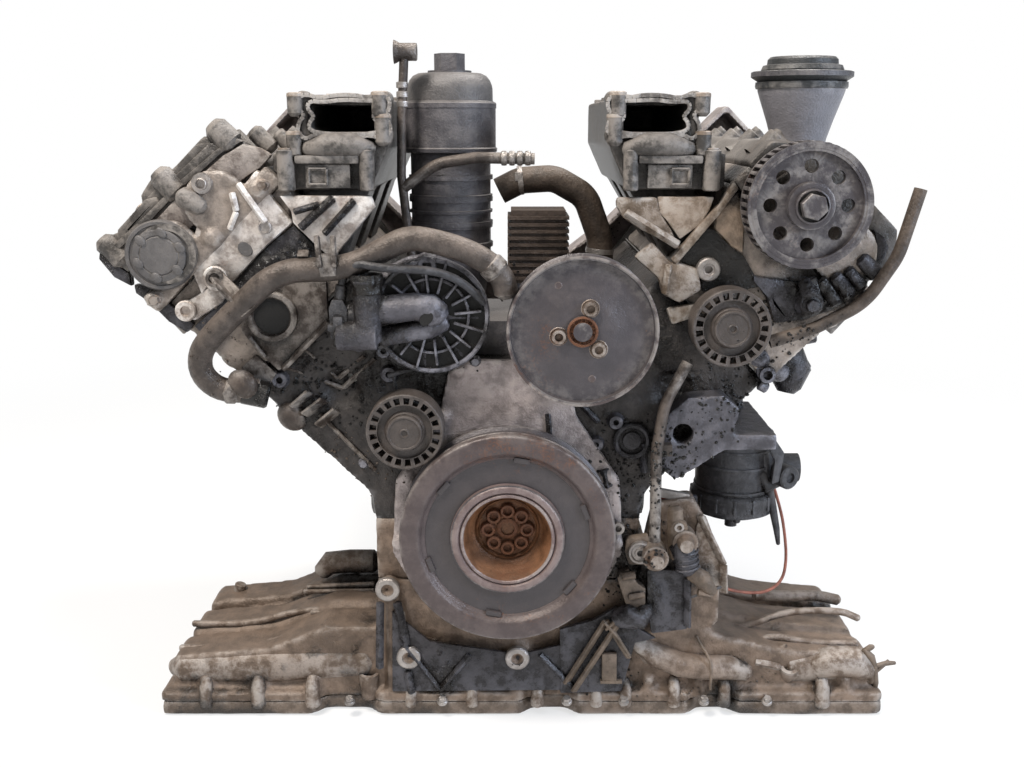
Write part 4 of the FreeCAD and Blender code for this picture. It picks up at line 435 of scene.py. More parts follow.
class Kit:
    """Small forms of one material, collected in one mesh. Places and sizes are in millimetres."""

    def __init__(self):
        self.bm = bmesh.new()

    def turned(self, place, axis, profile, steps=28, oval=1.0):
        """A form turned about an axis through place. The profile gives (radius, distance along the axis)."""
        place, axis = Vector(place), Vector(axis).normalized()
        side = axis.orthogonal().normalized()
        other = axis.cross(side)
        rings = []
        for radius, along in profile:
            if radius == 0:
                rings.append([self.bm.verts.new(place + axis * along)])
                continue
            ring = []
            for step in range(steps):
                angle = math.tau * step / steps
                ring.append(self.bm.verts.new(place + axis * along + side * radius * math.cos(angle)
                                              + other * radius * oval * math.sin(angle)))
            rings.append(ring)
        for low, high in zip(rings, rings[1:]):
            for step in range(steps):
                after = (step + 1) % steps
                corners = [low[step % len(low)], low[after % len(low)], high[after % len(high)],
                           high[step % len(high)]]
                unique = list(dict.fromkeys(corners))
                if len(unique) > 2:
                    self.bm.faces.new(unique)
        return self

    def prism(self, corners, depth, chamfer=0.0):
        """A plate: its corner points in order, pushed along depth, with its edges chamfered."""
        depth = Vector(depth)
        low = [self.bm.verts.new(Vector(corner)) for corner in corners]
        high = [self.bm.verts.new(Vector(corner) + depth) for corner in corners]
        faces = [self.bm.faces.new(low), self.bm.faces.new(high)]
        for index in range(len(low)):
            after = (index + 1) % len(low)
            faces.append(self.bm.faces.new([low[index], low[after], high[after], high[index]]))
        if chamfer:
            bmesh.ops.recalc_face_normals(self.bm, faces=faces)
            edges = list({edge for face in faces for edge in face.edges})
            bmesh.ops.bevel(self.bm, geom=edges, offset=chamfer, segments=2, affect="EDGES", profile=0.6)
        return self

    def plate(self, y, depth, chamfer, corners):
        """A plate that faces the pulley end at y. Its corners give (x, z)."""
        return self.prism([(x, y, z) for x, z in corners], (0, depth, 0), chamfer)

    def bar(self, start, end, width, thick, side=None, chamfer=0.6):
        """A bar with a rectangular section from start to end. Side is the direction of its width."""
        start, end = Vector(start), Vector(end)
        along = (end - start).normalized()
        across = (Vector(side) if side else along.orthogonal())
        across = (across - along * across.dot(along)).normalized()
        deep = along.cross(across)
        corners = [start + across * a * width / 2 + deep * b * thick / 2
                   for a, b in ((-1, -1), (1, -1), (1, 1), (-1, 1))]
        return self.prism(corners, end - start, chamfer)

    def rod(self, start, end, radius):
        start, end = Vector(start), Vector(end)
        length = (end - start).length
        edge = min(radius * 0.25, 1.0)
        return self.turned(start, end - start, [(0, 0), (radius - edge, 0), (radius, edge),
                                                (radius, length - edge), (radius - edge, length),
                                                (0, length)], 16)

    def hex_bolt(self, place, axis, size):
        """A flanged hexagon head: size is half its width across corners."""
        self.turned(place, axis, [(size * 1.25, -1), (size * 1.3, 0.4), (size * 1.2, 1.4),
                                  (size * 0.95, 2.2)], 24)
        return self.turned(place, axis, [(size * 0.98, 1.5), (size, 2.0), (size, size * 0.85 + 1),
                                         (size * 0.85, size + 1.4), (0, size + 1.4)], 6)

    def socket_bolt(self, place, axis, size, tall):
        """A cap head with a socket in it."""
        high = size * 1.1 * tall
        return self.turned(place, axis, [(size, -1), (size, high - 0.8), (size * 0.9, high),
                                         (size * 0.56, high), (size * 0.52, high - size * 0.6),
                                         (0, high - size * 0.6)], 18)

    def dome(self, place, axis, radius, height, steps=20, oval=1.0):
        profile = [(radius, -1)] + [(radius * math.cos(math.radians(a)), height * math.sin(math.radians(a)))
                                    for a in (0, 20, 40, 60, 78)] + [(0, height)]
        return self.turned(place, axis, profile, steps, oval)

    def boss(self, place, axis, radius, height, bore=None):
        """A cast boss with a flared foot, and with a hole in its top where bore is given."""
        profile = [(radius * 1.35, -2), (radius * 1.2, 0.5), (radius, 3), (radius, height - 0.8),
                   (radius * 0.92, height)]
        if bore:
            profile += [(bore, height), (bore * 0.95, height - 5), (0, height - 5)]
        else:
            profile.append((0, height))
        return self.turned(place, axis, profile, 24)

    def tube(self, points, radii, steps=16, oval=1.0):
        """A closed tube along points, with a radius at each and rounded ends."""
        points = [Vector(point) for point in points]
        side, rings = None, []
        first_way = (points[0] - points[1]).normalized()
        last_way = (points[-1] - points[-2]).normalized()
        rows = [(points[0] + first_way * radii[0] * 0.45, radii[0] * 0.6)] + list(zip(points, radii))
        rows.append((points[-1] + last_way * radii[-1] * 0.45, radii[-1] * 0.6))
        for index, (point, radius) in enumerate(rows):
            before, after = rows[max(index - 1, 0)][0], rows[min(index + 1, len(rows) - 1)][0]
            along = (after - before).normalized()
            if side is None:
                side = along.cross(Vector((0.1, 1, 0.07))).normalized()
            else:
                side = side - along * side.dot(along)
            side.normalize()
            other = along.cross(side)
            rings.append([self.bm.verts.new(point + side * radius * math.cos(math.tau * step / steps)
                                            + other * radius * oval * math.sin(math.tau * step / steps))
                          for step in range(steps)])
        for low, high in zip(rings, rings[1:]):
            for step in range(steps):
                after = (step + 1) % steps
                self.bm.faces.new([low[step], low[after], high[after], high[step]])
        self.bm.faces.new(rings[0])
        self.bm.faces.new(rings[-1])
        return self

    def done(self, name, material, body="block", replaces=()):
        finished(name, self.bm, material, body, replaces)


def rounded(points, times=2):
    """Cuts the corners of a line of points, so that a tube along it bends smoothly."""
    points = [Vector(point) for point in points]
    for _ in range(times):
        cut = [points[0]]
        for start, end in zip(points, points[1:]):
            cut += [start.lerp(end, 0.25), start.lerp(end, 0.75)]
        points = cut + [points[-1]]
    return points


# The front of the castings, to rest small forms on

def make_front():
    """The fixed parts as one skin, in which a ray from the pulley end finds what shows there."""
    points, faces = [], []
    for name in frame["record"]["behaviour"]["bodies"]["block"]:
        part = nodes[name]
        first = len(points)
        points.extend(part.matrix_world @ vertex.co for vertex in part.data.vertices)
        faces.extend([first + index for index in polygon.vertices] for polygon in part.data.polygons)
    return BVHTree.FromPolygons(points, faces)


front_skin = make_front()


def face(x, z, lift=0.0):
    """The point at x and z that shows from the pulley end, or nothing where the engine is open there."""
    hit = front_skin.ray_cast(mm(x, -600, z), Vector((0, 1, 0)))[0]
    return Vector((x, hit.y / MM - lift, z)) if hit else None


def rests(form, spots, *sizes):
    """One form of a kit at each x and z, on what shows there, facing the pulley end."""
    for x, z in spots:
        place = face(x, z)
        if place:
            form(place, FRONT, *sizes)


def strut(kit, surface, start, end, lift, *sizes):
    """A bar between two places that a surface gives for their x and z, where both are on the part."""
    first, last = surface(*start, lift), surface(*end, lift)
    if first and last:
        kit.bar(first, last, *sizes)


def crust(name, regions, material, seed, small=0.8, large=2.6):
    """Lumps of oil and dirt on what shows. A region is (x, z, half width, half height, count)."""
    chance = random.Random(seed)
    shape = bmesh.new()
    bmesh.ops.create_icosphere(shape, subdivisions=1, radius=1.0)
    shape.verts.index_update()
    corners = [corner.co.copy() for corner in shape.verts]
    sides = [[corner.index for corner in side.verts] for side in shape.faces]
    shape.free()
    points, faces = [], []
    for x, z, wide, tall, count in regions:
        for _ in range(count):
            place = face(x + chance.triangular(-wide, wide, 0), z + chance.triangular(-tall, tall, 0))
            if not place:
                continue
            radius = chance.uniform(small, large) * chance.uniform(0.5, 1.0)
            squeeze = Matrix.Rotation(chance.uniform(0, math.tau), 3, (0.4, 0.5, 0.8)) @ Matrix.Diagonal(
                (radius, radius * chance.uniform(0.55, 1.0), radius * chance.uniform(0.55, 1.0)))
            first = len(points)
            points += [(place + squeeze @ corner * chance.uniform(0.8, 1.15)) * MM for corner in corners]
            faces += [[first + index for index in side] for side in sides]
    mesh = bpy.data.meshes.new(name)
    mesh.from_pydata(points, [], faces)
    finished(name, mesh, material)


# Castings: the voxel, the rounds of smoothing, the wide and the fine unevenness

for casting in (
    ("engine_block", 4.2, 3, 0.8, 1.1), ("main_bearing_frame", 4.2, 2, 0.5, 0.8),
    ("upper_sump", 3.2, 3, 0.6, 0.5), ("lower_sump", 4.0, 2, 0.5, 0.3),
    ("cylinder_head_left", 3.8, 2, 0.6, 0.5), ("cylinder_head_right", 3.8, 2, 0.6, 0.5),
    ("cam_frame_left", 2.9, 2, 0.4, 0.3), ("cam_frame_right", 2.9, 2, 0.4, 0.3),
    ("valve_cover_left", 2.8, 2, 0.5, 0.2), ("valve_cover_right", 2.8, 2, 0.5, 0.2),
    ("front_cover", 2.4, 2, 0.3, 0.3), ("rear_timing_cover", 3.8, 2, 0.4, 0.2),
    ("inlet_manifold_left", 2.2, 2, 0.3, 0.15), ("inlet_manifold_right", 2.2, 2, 0.3, 0.15),
    ("coolant_pump_housing", 1.9, 2, 0.3, 0.4), ("mount_bracket", 2.2, 2, 0.4, 0.5),
    ("thermostat_housing", 1.6, 2, 0.2, 0.3),
):
    cast(*casting)


# Banks: covers, cam frames, heads and ports

def cover_details(bank, side):
    """Screw towers, wells and ledges on a valve cover, and the screws round its frame."""
    up, out = bank_up(bank), bank_out(bank)
    towers, screws, ledges = Kit(), Kit(), Kit()
    for number in (-0.5, 0.5, 1.5, 2.5):
        y = bore_y(bank, number) + 10
        for across, foot, tall in ((59, 404, 22), (-75, 386, 26)):
            place = on_bank(bank, across, y, foot)
            towers.boss(place, up, 9.5, tall, 4)
            screws.socket_bolt(place + up * (tall - 4), up, 5.2, 0.8)
    for number in range(3):
        y = bore_y(bank, number)
        place = on_bank(bank, -8, y, COVER_TOP - 1)
        ledges.turned(place, up, [(27, -2), (26, 3), (24, 6.5), (20, 7.5), (15, 7.2), (14, 2), (13, -6),
                                  (0, -6)], 30)
        ledges.bar(on_bank(bank, -60, y, COVER_TOP - 16), on_bank(bank, -30, y, COVER_TOP + 3), 9, 12,
                   (0, 1, 0), 2)
        ledges.bar(on_bank(bank, 14, y + 12, COVER_TOP), on_bank(bank, 50, y + 12, COVER_TOP), 8, 9,
                   (0, 1, 0), 2)
        screws.hex_bolt(on_bank(bank, 31, y - 22, COVER_TOP), up, 5)
    for across in (-40, 34):
        ledges.bar(on_bank(bank, across, -378, COVER_TOP - 2), on_bank(bank, across, -92, COVER_TOP - 2), 8,
                   8, out, 2)
    ledges.bar(on_bank(bank, 64, -386, 396), on_bank(bank, 64, -74, 396), 9, 9, up, 2.5)
    ledges.bar(on_bank(bank, 71, -398, FRAME_TOP - 2), on_bank(bank, 71, -74, FRAME_TOP - 2), 9, 6, out,
               1.5)
    for y in (-372, -318, -262, -208, -152, -98):
        screws.hex_bolt(on_bank(bank, 72, y, FRAME_TOP + 1), up, 4.6)
        towers.rod(on_bank(bank, 78, y, HEAD_TOP - 26), on_bank(bank, 75, y, FRAME_TOP - 2), 6.5)
    towers.done(f"cover_towers_{side}", "cover_plastic")
    ledges.done(f"cover_ledges_{side}", "cover_plastic")
    screws.done(f"cover_screws_{side}", "bolt_steel")


def head_details(bank, side):
    """Bosses and plugs on the outer side of a head, and the bolts of its cam frame's end."""
    out = bank_out(bank)
    bosses, bolts, plugs = Kit(), Kit(), Kit()
    for number in range(3):
        y = bore_y(bank, number)
        place = on_bank(bank, 70, y, 300)
        plugs.turned(place, out, [(22, -1), (22, 3), (16, 4), (15, -1.5), (0, -1.5)], 28, 0.8)
        for along in (-32, 32):
            bosses.boss(on_bank(bank, 69, y + along, 312), out, 8, 9, 4)
            bosses.boss(on_bank(bank, 69, y + along, 282), out, 8, 9, 4)
    for across in (-70, 68):
        bolts.hex_bolt(on_bank(bank, across, -403, 361), FRONT, 4.4)
    bosses.done(f"head_bosses_{side}", "head_aluminium")
    plugs.done(f"head_plugs_{side}", "bare_silver")
    bolts.done(f"head_bolts_{side}", "bolt_steel")


def port_point(bank, x, y, z):
    """A point of an inlet duct. The right duct stands nearer the middle than the left one."""
    return Vector((bank * x - (PORT_SHIFT if bank > 0 else 0), y, z))


def port_details(bank, side):
    """The gasket on an inlet flange, the flange's bolts, and the ribs along the duct."""
    seal, studs, ribs = Kit(), Kit(), Kit()
    at = functools.partial(port_point, bank)
    outline = [(97, 350), (103, 342), (114, 346), (124, 344), (136, 341.5), (150, 344), (160, 347),
               (168, 342), (175, 348), (173, 357), (168, 362), (175, 368), (174, 376), (166, 379),
               (156, 375.5), (144, 378), (128, 378.5), (114, 376), (106, 380), (97, 375), (98, 366),
               (103, 361), (98, 356)]
    inner = [(105, 350), (112, 347), (136, 346), (158, 347.5), (165.5, 351), (164, 357), (160, 361),
             (166, 367), (164, 373.5), (152, 372.5), (136, 374.5), (116, 373.5), (106, 374), (107, 368),
             (112, 361), (107, 356)]
    for ring, wide in ((outline, 2.2), (inner, 2.4)):
        loop = rounded([at(x, -401.4, z) for x, z in ring + ring[:1]], 1)
        for start, end in zip(loop, loop[1:]):
            seal.bar(start, end, wide, 3.4, (0, 1, 0), 0.5)
    for number in range(3):
        y = bore_y(bank, number)
        ribs.boss(at(180, y, 334), (bank * 0.5, 0, 0.85), 8, 10, 4)
        ribs.bar(at(104, y - 26, 375), at(168, y - 26, 375), 6, 9, (0, 1, 0), 1.5)
        studs.hex_bolt(at(120, y + 18, 375), UP, 5)
        studs.hex_bolt(at(160, y + 18, 375), UP, 5)
    seal.done(f"port_seal_{side}", "port_rim")
    studs.done(f"port_bolts_{side}", "bolt_steel")
    ribs.done(f"port_ribs_{side}", "cover_plastic")


def manifold_front(bank, side):
    """The band, the columns and the corner bosses under an inlet flange."""
    columns, caps = Kit(), Kit()
    at = functools.partial(port_point, bank)
    for x, radius in ((186, 7.5), (118, 6.5)):
        columns.rod(at(x, -401, 300), at(x, -401, 334), radius)
        caps.turned(at(x, -401, 334), UP, [(radius * 0.75, -1), (radius * 0.75, 1.4), (0, 1.6)], 20)
    columns.bar(at(178, -402, 326), at(124, -402, 326), 7, 8, (0, 0, 1), 2)
    columns.bar(at(170, -399, 312), at(132, -399, 312), 20, 5, (0, 0, 1), 1.5)
    for start, end in (((167, 318), (167, 305)), ((152, 318), (152, 305)), ((167, 318), (152, 318)),
                       ((167, 305), (152, 305))):
        columns.bar(at(start[0], -403, start[1]), at(end[0], -403, end[1]), 1.8, 3, None, 0.5)
    for x, top, low in ((178, 346, 330), (104, 360, 340), (106, 378, 362), (176, 377, 364)):
        columns.tube([at(x, -398, low), at(x, -398, top)], [7, 7.2], 24)
        caps.turned(at(x, -398, top + 1.4), UP, [(7.4, -1.4), (7.2, 1.2), (5.4, 2), (3, 2), (2.6, 0.6),
                                                 (0, 0.6)], 26)
    columns.tube([at(168, -398, 334), at(150, -401, 338), at(130, -401, 338), at(114, -398, 334)],
                 [7, 10, 10, 7], 24)
    columns.done(f"manifold_columns_{side}", "cover_plastic")
    caps.done(f"manifold_caps_{side}", "head_tan")


for bank, side in ((-1, "left"), (1, "right")):
    cover_details(bank, side)
    head_details(bank, side)
    port_details(bank, side)
    manifold_front(bank, side)


# Wheels

def damper_details():
    """The notches, rubber joint and bolts of the damper, which turn with the crankshaft."""
    notches, bolts, rust = Kit(), Kit(), Kit()
    for number in range(6):
        angle = math.radians(20 + 60 * number)
        place = Vector((math.cos(angle) * 72.5, -432.5, math.sin(angle) * 72.5))
        tangent = Vector((-math.sin(angle), 0, math.cos(angle)))
        notches.bar(place - tangent * 7, place + tangent * 7, 5, 4, (math.cos(angle), 0, math.sin(angle)),
                    1.2)
    rust.turned((0, 0, 0), FRONT, [(38.6, 436.4), (37.6, 434.5), (36.4, 428), (34.6, 420), (32.2, 413.4),
                                   (30.2, 409.6), (28.4, 408.4), (28.2, 410.2), (27, 410.8), (25.8, 408.6),
                                   (25.4, 407.5), (0, 407.5)], 96)
    for number in range(8):
        angle = math.radians(45 * number)
        place = Vector((17.5 * math.cos(angle), -407, 17.5 * math.sin(angle)))
        bolts.turned(place, FRONT, [(6.6, -1), (6.6, 5.2), (5.9, 6.2), (4.0, 6.2), (3.8, 1.8), (0, 1.8)],
                     24)
        bolts.turned(place, FRONT, [(7.4, -0.5), (7.4, 0.9), (6.8, 1.3), (6.6, 0.5)], 24)
    bolts.turned((0, -407.5, 0), FRONT, [(9.8, -1), (9.8, 1.4), (8.6, 2.2), (6.2, 2.2), (5.6, -3), (0, -3)],
                 30)
    ring, annulus, collar = Kit(), Kit(), Kit()
    ring.turned((0, 0, 0), FRONT, [(72.4, 431), (73, 432.2), (75.6, 433.4), (76.2, 434.4), (78.4, 436.8),
                                   (79.9, 437.6), (82, 437.8), (92.6, 437.7), (94.2, 437.2), (95.2, 435.8),
                                   (95.3, 429.5), (94.4, 428.2), (94.2, 427.4)], 128)
    ring.turned((0, 0, 0), FRONT, [(93.9, 427), (95.1, 426.2), (95.1, 424.8), (93.9, 424)], 128)
    annulus.turned((0, 0, 0), FRONT, [(50.3, 430.6), (50.6, 431.6), (52.4, 431.9), (54, 431.5),
                                      (72.6, 431.5), (72.8, 431)], 128)
    collar.turned((0, 0, 0), FRONT, [(38.2, 432), (38.5, 436.2), (39.4, 437.1), (41, 437.2), (41.8, 436.4),
                                     (42.2, 435), (42.8, 436.4), (43.8, 437.7), (45.4, 438.1), (47.4, 438),
                                     (49, 437.2), (50, 435.4), (50.4, 431.6), (52.4, 431.4), (53, 430.8)],
                  112)
    ring.done("damper_ring_face", "ring_steel", "crank")
    annulus.done("damper_annulus", "annulus_paint", "crank")
    collar.done("damper_collar", "collar_steel", "crank")
    notches.done("damper_notches", "annulus_paint", "crank")
    rust.done("damper_bowl", "bowl_rust", "crank")
    bolts.done("damper_bolt_heads", "rusty", "crank", ["damper_bolts"])


def pump_pulley_details():
    """The disc, the bolts, the plug and the lip of the large plain pulley."""
    bolts, plug, rim, plate = Kit(), Kit(), Kit(), Kit()
    centre = Vector((63.4, -431, 185))
    plate.turned(centre, FRONT, [(60.6, -0.4), (60.2, 0.5), (31, 0.5), (30.4, 0.9), (12, 0.9), (8, 0.9)],
                 96)
    for turned, away, size in ((118, 44, 2.6), (-78, 42, 2.6)):
        angle = math.radians(turned)
        spot = centre + Vector((away * math.cos(angle), 0, away * math.sin(angle)))
        rim.turned(spot, FRONT, [(size + 0.8, 0.5), (size, 0.9), (size - 0.6, 0.7), (0, 0.6)], 16)
    for number in range(3):
        angle = math.radians(72 + 120 * number)
        place = centre + Vector((20.5 * math.cos(angle), 0, 20.5 * math.sin(angle)))
        bolts.turned(place, FRONT, [(8.2, -1), (8.2, 0.8), (7.4, 1.4), (6.3, 1.2), (6.3, 5.0), (5.8, 6.0),
                                    (3.6, 6.0), (3.4, 2.4), (0, 2.4)], 24)
    plug.turned(centre, FRONT, [(13.4, 2.6), (13.2, 3.4), (11.6, 3.8), (10.9, 3.0), (8.2, 3.0), (7.4, 4.6),
                                (6.2, 4.9), (5.8, 3.4), (0, 3.4)], 36)
    rim.turned(centre, FRONT, [(61.5, 0.2), (62.1, 6.4), (63.2, 6.55), (64.1, 6.2), (64.15, 5.4)], 96)
    bolts.done("pump_bolt_heads", "bolt_steel", "steering_pulley", ["pump_pulley_bolts"])
    plug.done("pump_hub_plug", "rusty", "steering_pulley")
    rim.done("pump_pulley_lip", "ring_steel", "steering_pulley")
    plate.done("pump_pulley_plate", "pulley_steel", "steering_pulley")


def idler_hubs():
    """The flat hub caps of the two idlers."""
    for name, x, z in (("left", -88.7, 96), ("right", 189.7, 187)):
        hub = Kit()
        hub.turned((x, -433.4, z), FRONT, [(15.6, -4), (15.6, 0), (14.8, 1), (13.6, 1), (13, 0.3),
                                           (4.4, 0.3), (3.8, 0.8), (3, 0.8), (2.4, -0.6), (0, -0.6)], 40)
        hub.done(f"idler_hub_{name}", "idler_plastic", f"{name}_idler")


def belt_pulley_details():
    """The teeth and the worn rings of the toothed pulley."""
    centre = on_bank(1, -30, 0, 380)
    teeth, hub = Kit(), Kit()
    for number in range(48):
        angle = math.tau * number / 48
        away = Vector((math.cos(angle), 0, math.sin(angle)))
        tangent = Vector((-math.sin(angle), 0, math.cos(angle)))
        start = centre + away * 50.8 + Vector((0, -433.8, 0))
        teeth.bar(start, start + Vector((0, 23.5, 0)), 3.2, 2.6, tangent, 0.5)
    hub.turned(centre, FRONT, [(19.4, 438.6), (19.2, 440.4), (17.4, 441), (14.4, 441), (14.2, 444.2),
                               (12.8, 445)], 48)
    hub.turned(centre, FRONT, [(11.2, 441), (11.2, 450.2), (10.2, 451), (0, 451)], 6)
    hub.turned(centre, FRONT, [(48.9, 436.2), (48.4, 437.3), (46.4, 437.4), (45.9, 436.4)], 72)
    teeth.done("belt_pulley_teeth", "pulley_steel", "camshaft_right_inlet_body")
    hub.done("belt_pulley_hub", "pulley_steel", "camshaft_right_inlet_body", ["cam_pulley_bolt"])


damper_details()
pump_pulley_details()
belt_pulley_details()


# Filter, pipes and hoses

def filter_details():
    """The rings of the filter and the dome of its cap."""
    centre = Vector((-53, -300, 0))
    rings, ribs = Kit(), Kit()
    for z in (246, 262, 276, 290):
        rings.turned(centre + Vector((0, 0, z)), UP, [(36.8, -1.8), (38.6, -1.2), (38.8, 1.2), (36.8, 1.8)],
                     56)
    rings.turned(centre + Vector((0, 0, 333)), UP, [(41, -4), (43, -3), (43.4, 0), (41, 2)], 56)
    rings.turned(centre + Vector((0, 0, 372)), UP, [(41.5, -4), (42.6, -3), (42.6, 1), (41.6, 2.2),
                                                    (38, 2.4)], 56)
    ribs.turned(centre, UP, [(40.6, 374.4), (39.4, 375.4), (39.2, 386), (38.7, 389), (36.8, 393.6),
                             (33.6, 397.4), (29, 399.6), (20, 400.3)], 72)
    rings.done("filter_rings", "housing_plastic")
    ribs.done("filter_cap_dome", "cap_plastic", "filter_cap_body")


def pipe_details():
    """Clamps, collars and brackets on the pipes at the pulley end."""
    clamps, plain, wet = Kit(), Kit(), Kit()
    clamps.turned((12, -286, 303), (1, 0, 0.1), [(12.4, -2.4), (13.5, -2.4), (13.7, 0), (13.5, 2.4),
                                                 (12.4, 2.4)], 36)
    clamps.turned((88.5, -281, 236), (0.1, 0, 1), [(12.4, -2.4), (13.5, -2.4), (13.7, 0), (13.5, 2.4),
                                                   (12.4, 2.4)], 36)
    clamps.bar((10, -297, 303), (10, -297, 311), 7, 5, (1, 0, 0), 1)
    for x in (-3, 4, 11, 18):
        clamps.turned((x, -353, 325.5), (1, 0, 0), [(4.9, -2.6), (6.3, -2.2), (6.5, 0), (6.3, 2.2),
                                                    (4.9, 2.6)], 24)
    for z in (372, 380, 388):
        clamps.turned((-92.2, -346, z), UP, [(3.9, -2.8), (5.2, -2.2), (5.2, 2.2), (3.9, 2.8)], 24)
    plain.boss((-97, -342, 416), (1, 0, 0), 7.6, 18, 3)
    wet.turned((-222, -403, 125), (-0.8, -0.1, 0.2), [(10.6, -12), (12.2, -10), (12.2, 10), (10.6, 12)], 32)
    clamps.done("pipe_clamps", "bare_silver")
    plain.done("pipe_brackets", "pipe_metal")
    wet.done("pipe_collar", "thin_oil_and_shade")


def stub_details():
    """The lip of the thermostat stub, its open bore, and the sensor plug and conduit beside it."""
    lip, plug = Kit(), Kit()
    lip.turned((-118, -426, 0), UP, [(12.0, 216), (12.8, 217), (12.4, 222), (13.6, 226), (14.4, 229),
                                     (13.8, 232.6), (11.4, 232.8), (10.2, 230), (9.8, 214), (0, 214)], 36)
    lip.boss((-136, -424, 181), (-1, -0.2, 0), 10, 12)
    plug.plate(-431, 13, 1.6, [(-149, 178), (-135, 178), (-134, 204), (-138, 212), (-147, 212),
                               (-150, 204)])
    plug.bar((-151, -426, 188), (-133, -426, 188), 6, 15, (0, 0, 1), 1.2)
    plug.bar((-146, -433, 192), (-138, -433, 192), 12, 3, (0, 0, 1), 0.8)
    plug.rod((-141, -425, 210), (-139, -425, 224), 5)
    lip.done("thermostat_lip", "thin_oil_and_shade")
    plug.done("sensor_plug", "mount_rubber")
    wire_piece("sensor_conduit", [(-139, -425, 222), (-137, -427, 234), (-126, -434, 243), (-108, -438, 240),
                                  (-88, -434, 238), (-60, -428, 236), (-34, -420, 224), (-20, -412, 206)],
               3.6, "mount_rubber")


def filler_details():
    """The smooth funnel of the oil filler and the two dark rings of its cap."""
    centre = Vector((259, -339, 0))
    cone, rings, cap = Kit(), Kit(), Kit()
    cone.turned(centre, UP, [(20.6, 318), (21.4, 326), (24, 342), (29, 358), (36, 378), (37.6, 383),
                             (37.8, 385.5), (36, 386)], 72)
    rings.turned(centre, UP, [(36, 384.5), (39.4, 385), (40, 387), (39.8, 390.5), (38, 391), (43.6, 394.6),
                              (44, 396), (44, 398.6), (42.6, 399.6), (38, 399.8), (36, 398.8)], 72)
    cone.done("filler_cone", "filler_plastic")
    rings.done("filler_rings", "filler_dark")
    cap.turned(centre, UP, [(35, 399.4), (35.6, 401), (34, 404.6), (30.6, 405.4), (30.2, 409.6), (28, 411.8),
                            (22, 412), (20, 410.6), (0, 410.4)], 72)
    cap.bar(centre + Vector((-19, 0, 411)), centre + Vector((19, 0, 411)), 5, 1.8, (0, 1, 0), 0.5)
    cap.done("filler_cap_top", "filler_dark", "filler_cap_body", ["oil_filler_cap"])


filter_details()
pipe_details()
stub_details()
filler_details()


# Left side at the pulley end

